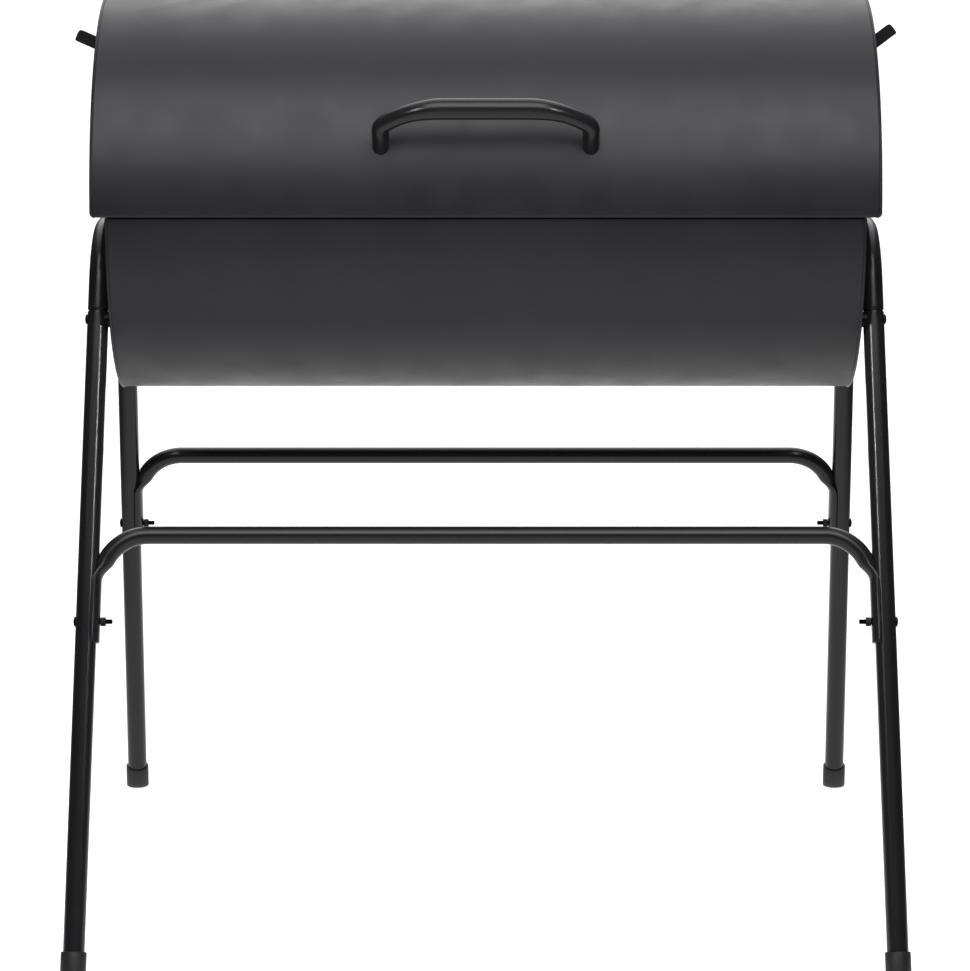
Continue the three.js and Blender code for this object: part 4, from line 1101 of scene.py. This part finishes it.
# %% Hinges
HINGE_X, HINGE_WIDTH, HINGE_SHEET, HINGE_DROP = 230.0, 50.0, 1.5, 5.0
HINGE_Y = LID_RADIUS + FIT_GAP + HINGE_SHEET + 4.5
KNUCKLE, PIN_RADIUS, MIDDLE = 5.0, 3.0, 9.0
EYE_ROUND, EYE_REACH, STRIP_BULGE = 0.4, 4.0, 0.6


def leaf(radius, low, high):
    """Curved strip against a shell between two heights above the barrel's axis."""
    angles = [math.asin(height / radius) for height in (low, high)]
    grids = []
    for r in (radius + FIT_GAP + HINGE_SHEET, radius + FIT_GAP):
        grid = []
        for x in (-HINGE_WIDTH / 2, HINGE_WIDTH / 2):
            row = []
            for k in range(11):
                angle = angles[0] + (angles[1] - angles[0]) * k / 10
                row.append((x, r * math.cos(angle), r * math.sin(angle)))
            grid.append(row)
        grids.append(grid)
    return sheeted(*grids)


def knuckle(start, end, y, z):
    """Rolled eye around the pin, and the strip that runs from it to the leaf."""
    bore, length = PIN_RADIUS + FIT_GAP, end - start
    eye = [(0, bore), (0, KNUCKLE - EYE_ROUND), (EYE_ROUND, KNUCKLE)]
    eye += [(length - EYE_ROUND, KNUCKLE), (length, KNUCKLE - EYE_ROUND), (length, bore)]
    eye = turned(eye, (start, HINGE_Y, -HINGE_DROP), (1, 0, 0), 40, closed=True)
    side = 1 if z > -HINGE_DROP else -1
    path = []
    for k in range(9):
        share = k / 8
        bulge = STRIP_BULGE * math.sin(math.pi * share)
        path.append((y + (HINGE_Y - EYE_ROUND - y) * share + bulge,
                     z + (-HINGE_DROP + side * EYE_REACH - z) * share))
    grids = []
    for off in (HINGE_SHEET / 2, -HINGE_SHEET / 2):
        grids.append([[(x, py + off, pz) for py, pz in path] for x in (start, end)])
    return together([eye, sheeted(*grids)])


print("leaf and knuckle ready")

# %% Hinges fitted
LID_LEAF, BOWL_LEAF = (4, 40), (-14, -54)  # heights above the split
lid_leaf_y = LID_RADIUS + FIT_GAP + HINGE_SHEET / 2
bowl_leaf_y = BOWL_RADIUS + FIT_GAP + HINGE_SHEET / 2
half = HINGE_WIDTH / 2
lid_leaf = together([
    leaf(LID_RADIUS, *LID_LEAF),
    knuckle(-half, -MIDDLE - FIT_GAP, lid_leaf_y, LID_LEAF[0] + 1),
    knuckle(MIDDLE + FIT_GAP, half, lid_leaf_y, LID_LEAF[0] + 1),
])
bowl_leaf = together([
    leaf(BOWL_RADIUS, *BOWL_LEAF),
    knuckle(-MIDDLE, MIDDLE, bowl_leaf_y, BOWL_LEAF[0] - 1),
])
pin = [(-half - 2.3, 0), (-half - 2.1, 2.4), (-half - 1.3, 3.9), (-half - 0.3, 4.5)]
pin.append((-half - 0.3, PIN_RADIUS))
pin += [(-along, radius) for along, radius in reversed(pin)]
pin = turned(pin, (0, HINGE_Y, -HINGE_DROP), (1, 0, 0), 32)
for side_name, side in SIDES.items():
    for node, shape, edge in (("hinge_lid_leaf", lid_leaf, 0.25),
                              ("hinge_bowl_leaf", bowl_leaf, 0.25), ("hinge_pin", pin, 0)):
        piece = moved(on_barrel(shape), (side * HINGE_X, 0, 0))
        fit(f"{node}_{side_name}", piece, fastener_steel, edge)
print("2 hinges")

# %% [markdown]
# ## Rails, cooking grids and charcoal grate
# Two bent rails inside the bowl carry the cooking grids. A grid is a frame of
# thick wire with thinner rods welded across it, and two rods below tie them
# together. The charcoal grate is made the same way and lies lower, where the
# bowl is narrow enough to hold it.

# %% Rails
RAIL_DROP, RAIL_LEDGE, RAIL_LEG, RAIL_END = 21.0, 15.0, 12.0, 356.0
bowl_inside = BOWL_RADIUS - SHEET


def rail(depth):
    """Strip against the bowl's wall with a level ledge."""
    wall = bowl_inside - FIT_GAP
    drops = [RAIL_DROP + RAIL_LEG * k / 6 for k in range(6, -1, -1)]
    path = [(math.sqrt(wall ** 2 - drop ** 2), -drop) for drop in drops]
    inner = [(y - SHEET, z - (SHEET if k == 6 else 0)) for k, (y, z) in enumerate(path)]
    path.append((path[-1][0] - RAIL_LEDGE, -RAIL_DROP))
    inner.append((path[-1][0], -RAIL_DROP - SHEET))
    grids = []
    for line in (path, inner):
        grids.append([[(x, depth * y, z) for y, z in line] for x in (-RAIL_END, RAIL_END)])
    return sheeted(*grids)


for depth_name, depth in DEPTHS.items():
    fit(f"grid_rail_{depth_name}", on_barrel(rail(depth)), barrel_paint, 0.2)
print("2 rails")

# %% Wire grids
def wire(start, end, radius, sides=12):
    """Straight wire with slightly rounded ends."""
    start, end = Vector(start), Vector(end)
    length = (end - start).length
    profile = [(0, 0), (0, radius * 0.7), (radius * 0.3, radius)]
    profile += [(length - along, r) for along, r in reversed(profile)]
    return turned(profile, start, end - start, sides)


def wire_frame(x0, x1, y0, y1, z, radius, corner):
    """Closed wire around a rectangle with rounded corners."""
    middle = ((x0 + x1) / 2, y0, z)
    corners = [middle, (x1, y0, z), (x1, y1, z), (x0, y1, z), (x0, y0, z), middle]
    stations = bent_path(corners, [corner] * (len(corners) - 2), 8)[1:-1]
    return ringed(swept(stations, Vector((0, 0, 1)), lambda row: circle(radius, 16)), closed=True)


def between(low, high, pitch):
    """Evenly spaced places strictly between two edges."""
    count = round((high - low) / pitch)
    return [low + (high - low) * k / count for k in range(1, count)]


print("wire helpers ready")

# %% Cooking grids
ROD, UNDER, CORNER_BEND = 2.0, 3.2, 12.0  # a rod's radius, how far cross rods lie below, bends
GRID_Y, GRID_Z, GRID_NEAR, GRID_FAR = 182.5, -18.2, 3.75, 354.0
GRID_WIRE, GRID_PITCH = 2.5, 18.0
grid = [wire_frame(GRID_NEAR, GRID_FAR, -GRID_Y, GRID_Y, GRID_Z, GRID_WIRE, CORNER_BEND)]
for x in between(GRID_NEAR, GRID_FAR, GRID_PITCH):
    grid.append(wire((x, -GRID_Y, GRID_Z), (x, GRID_Y, GRID_Z), ROD))
for y in (-GRID_Y / 3, GRID_Y / 3):
    grid.append(wire((GRID_NEAR, y, GRID_Z - UNDER), (GRID_FAR, y, GRID_Z - UNDER), ROD))
for side_name, side in SIDES.items():
    fit(f"cooking_grid_{side_name}", mirrored(on_barrel(together(grid)), side), wire_chrome)
print("2 cooking grids of", len(grid) - 1, "rods")

# %% Charcoal grate
GRATE_X, GRATE_Y, GRATE_Z = 348.0, 150.5, -120.0
GRATE_WIRE, GRATE_PITCH, GRATE_TIES, TIE_GAP = 3.0, 30.0, 5, 6.0
grate = [wire_frame(-GRATE_X, GRATE_X, -GRATE_Y, GRATE_Y, GRATE_Z, GRATE_WIRE, CORNER_BEND)]
for y in between(-GRATE_Y, GRATE_Y, GRATE_PITCH):
    grate.append(wire((-GRATE_X, y, GRATE_Z), (GRATE_X, y, GRATE_Z), ROD))
tie = math.sqrt(bowl_inside ** 2 - (GRATE_Z - UNDER - 3) ** 2) - TIE_GAP
for x in between(-GRATE_X, GRATE_X, 2 * GRATE_X / GRATE_TIES):
    grate.append(wire((x, -tie, GRATE_Z - UNDER), (x, tie, GRATE_Z - UNDER), ROD))
fit("charcoal_grate", on_barrel(together(grate)), grate_wire)
print("charcoal grate of", len(grate) - 1, "rods")

# %% [markdown]
# ## Floor
# The floor and the walls of a photographer's white room are nearly the same
# tone, so the floor is a wide pale sheet that fades into a white world. Dark
# paint shows its shape through what it mirrors, so what the floor shows to the
# camera and what it gives to reflections are mixed apart. In reflections it
# glows behind the barbecue and stays dim in front and far out to the sides.

# %% Light that changes from place to place
def falling_off(tree, *ramps):
    """Product of ramps: each is along what, from where, to where, and its strength at both."""
    strength = None
    for along, start, end, first, last in ramps:
        inputs = {"Value": along, "From Min": start, "From Max": end}
        inputs |= {"To Min": first, "To Max": last}
        ramp = add(tree, "ShaderNodeMapRange", inputs).outputs["Result"]
        if strength:
            both = {0: strength, 1: ramp}
            ramp = add(tree, "ShaderNodeMath", both, operation="MULTIPLY").outputs[0]
        strength = ramp
    return strength


def seen_apart(tree, mirrored_shader, seen_shader):
    """One shader for reflections and light, and another for the camera."""
    seen = add(tree, "ShaderNodeLightPath").outputs["Is Camera Ray"]
    ends = {0: seen, 1: mirrored_shader.outputs[0], 2: seen_shader.outputs[0]}
    return add(tree, "ShaderNodeMixShader", ends).outputs[0]


def along_axes(tree, place):
    """How far a place is to either side (without its sign), behind and up."""
    parts = add(tree, "ShaderNodeSeparateXYZ", {"Vector": place}).outputs
    aside = add(tree, "ShaderNodeMath", {0: parts["X"]}, operation="ABSOLUTE").outputs[0]
    return aside, parts["Y"], parts["Z"]


print("light helpers ready")

# %% Floor
floor_finish, tree, place = new_finish("matt_white_backdrop_paper")
paper = add(tree, "ShaderNodeBsdfPrincipled", {
    "Base Color": patchy(tree, place, 400, 2, colour("#f1f1f1"), colour("#f4f4f4")),
    "Roughness": 0.9,
    "Specular IOR Level": 0.2,
    "Emission Color": (1, 1, 1, 1),
    "Emission Strength": 0.66,
})
aside, behind, _ = along_axes(tree, place)
to_sides = (0.5, 1.3, 1.0, 0.08)  # places in metres, then strengths
far_behind = (0.4, 2.5, 1.0, 2.6)
in_front = (-3.0, -0.9, 0.3, 1.0)
glow = falling_off(tree, (aside, *to_sides), (behind, *far_behind), (behind, *in_front))
mirrored_paper = add(tree, "ShaderNodeEmission", {"Strength": glow})
shown = seen_apart(tree, mirrored_paper, paper)
add(tree, "ShaderNodeOutputMaterial", {"Surface": shown})
floor_mesh = bpy.data.meshes.new("floor")
FLOOR_HALF = 14.0
floor_corners = [(-FLOOR_HALF, -FLOOR_HALF, 0), (FLOOR_HALF, -FLOOR_HALF, 0),
                 (FLOOR_HALF, FLOOR_HALF, 0), (-FLOOR_HALF, FLOOR_HALF, 0)]
floor_mesh.from_pydata(floor_corners, [], [(0, 1, 2, 3)])
floor_mesh.materials.append(floor_finish)
floor = bpy.data.objects.new("floor", floor_mesh)
bpy.context.scene.collection.objects.link(floor)
print("floor", 2 * FLOOR_HALF, "m square")

# %% [markdown]
# ## The white room
# The camera sees plain white beyond the floor. In reflections the room is bright
# behind the barbecue, which lights the lid's top edge, and dim in front, which
# keeps the lid's lower edge dark. Black flags at both sides, wider apart higher
# up, give the glossy tubes their dark outlines.

# %% World
FLAG_SLOPE = 0.4  # how far the flags lean outwards as they rise
world = bpy.data.worlds.new("white_studio")
world.use_nodes = True
bpy.context.scene.world = world
tree = world.node_tree
tree.nodes.clear()
direction = add(tree, "ShaderNodeTexCoord").outputs["Generated"]
aside, behind, up = along_axes(tree, direction)
lean = add(tree, "ShaderNodeMath", {0: up, 1: FLAG_SLOPE}, operation="MULTIPLY").outputs[0]
beside = add(tree, "ShaderNodeMath", {0: aside, 1: lean}, operation="SUBTRACT").outputs[0]
back_wall = (-0.4, 1.0, 0.12, 2.1)  # directions, each from -1 to 1, then strengths
ceiling = (0.15, 0.5, 0.25, 1.25)
flags = (0.1, 0.4, 1.0, 0.1)
room = falling_off(tree, (behind, *back_wall), (up, *ceiling), (beside, *flags))
lit_room = add(tree, "ShaderNodeBackground", {"Color": (1, 1, 1, 1), "Strength": room})
white_room = add(tree, "ShaderNodeBackground", {"Color": (1, 1, 1, 1), "Strength": 1.0})
add(tree, "ShaderNodeOutputWorld", {"Surface": seen_apart(tree, lit_room, white_room)})
print("world ready")

# %% [markdown]
# ## Lamps
# A broad soft box high in front draws the band along the lid. Two narrow strips,
# one on each side and each aimed across at the far side, draw the thin bright
# lines that run down the legs.

# %% Soft boxes
def soft_box(name, place, aim, width, height, power, spread_angle=180):
    """Rectangular light that points at a place."""
    data = bpy.data.lights.new(name, "AREA")
    data.shape = "RECTANGLE"
    data.size, data.size_y = width, height
    data.energy = power
    data.spread = math.radians(spread_angle)
    made = bpy.data.objects.new(name, data)
    made.location = place
    made.rotation_euler = (Vector(aim) - Vector(place)).to_track_quat("-Z", "Y").to_euler()
    bpy.context.scene.collection.objects.link(made)


LID_AIM = (0, 0, 0.8)
STRIP_WIDTH, STRIP_HEIGHT, STRIP_POWER, STRIP_SPREAD = 0.14, 2.0, 36, 64
soft_box("front_soft_box", (0, -2.3, 3.2), LID_AIM, 3.2, 2.5, 90)
for side_name, side in SIDES.items():
    place, aim = (side * 2.0, -2.7, 2.7), (side * -2.6, -0.25, 2.0)
    soft_box(f"{side_name}_strip", place, aim, STRIP_WIDTH, STRIP_HEIGHT, STRIP_POWER, STRIP_SPREAD)
print("3 lamps")
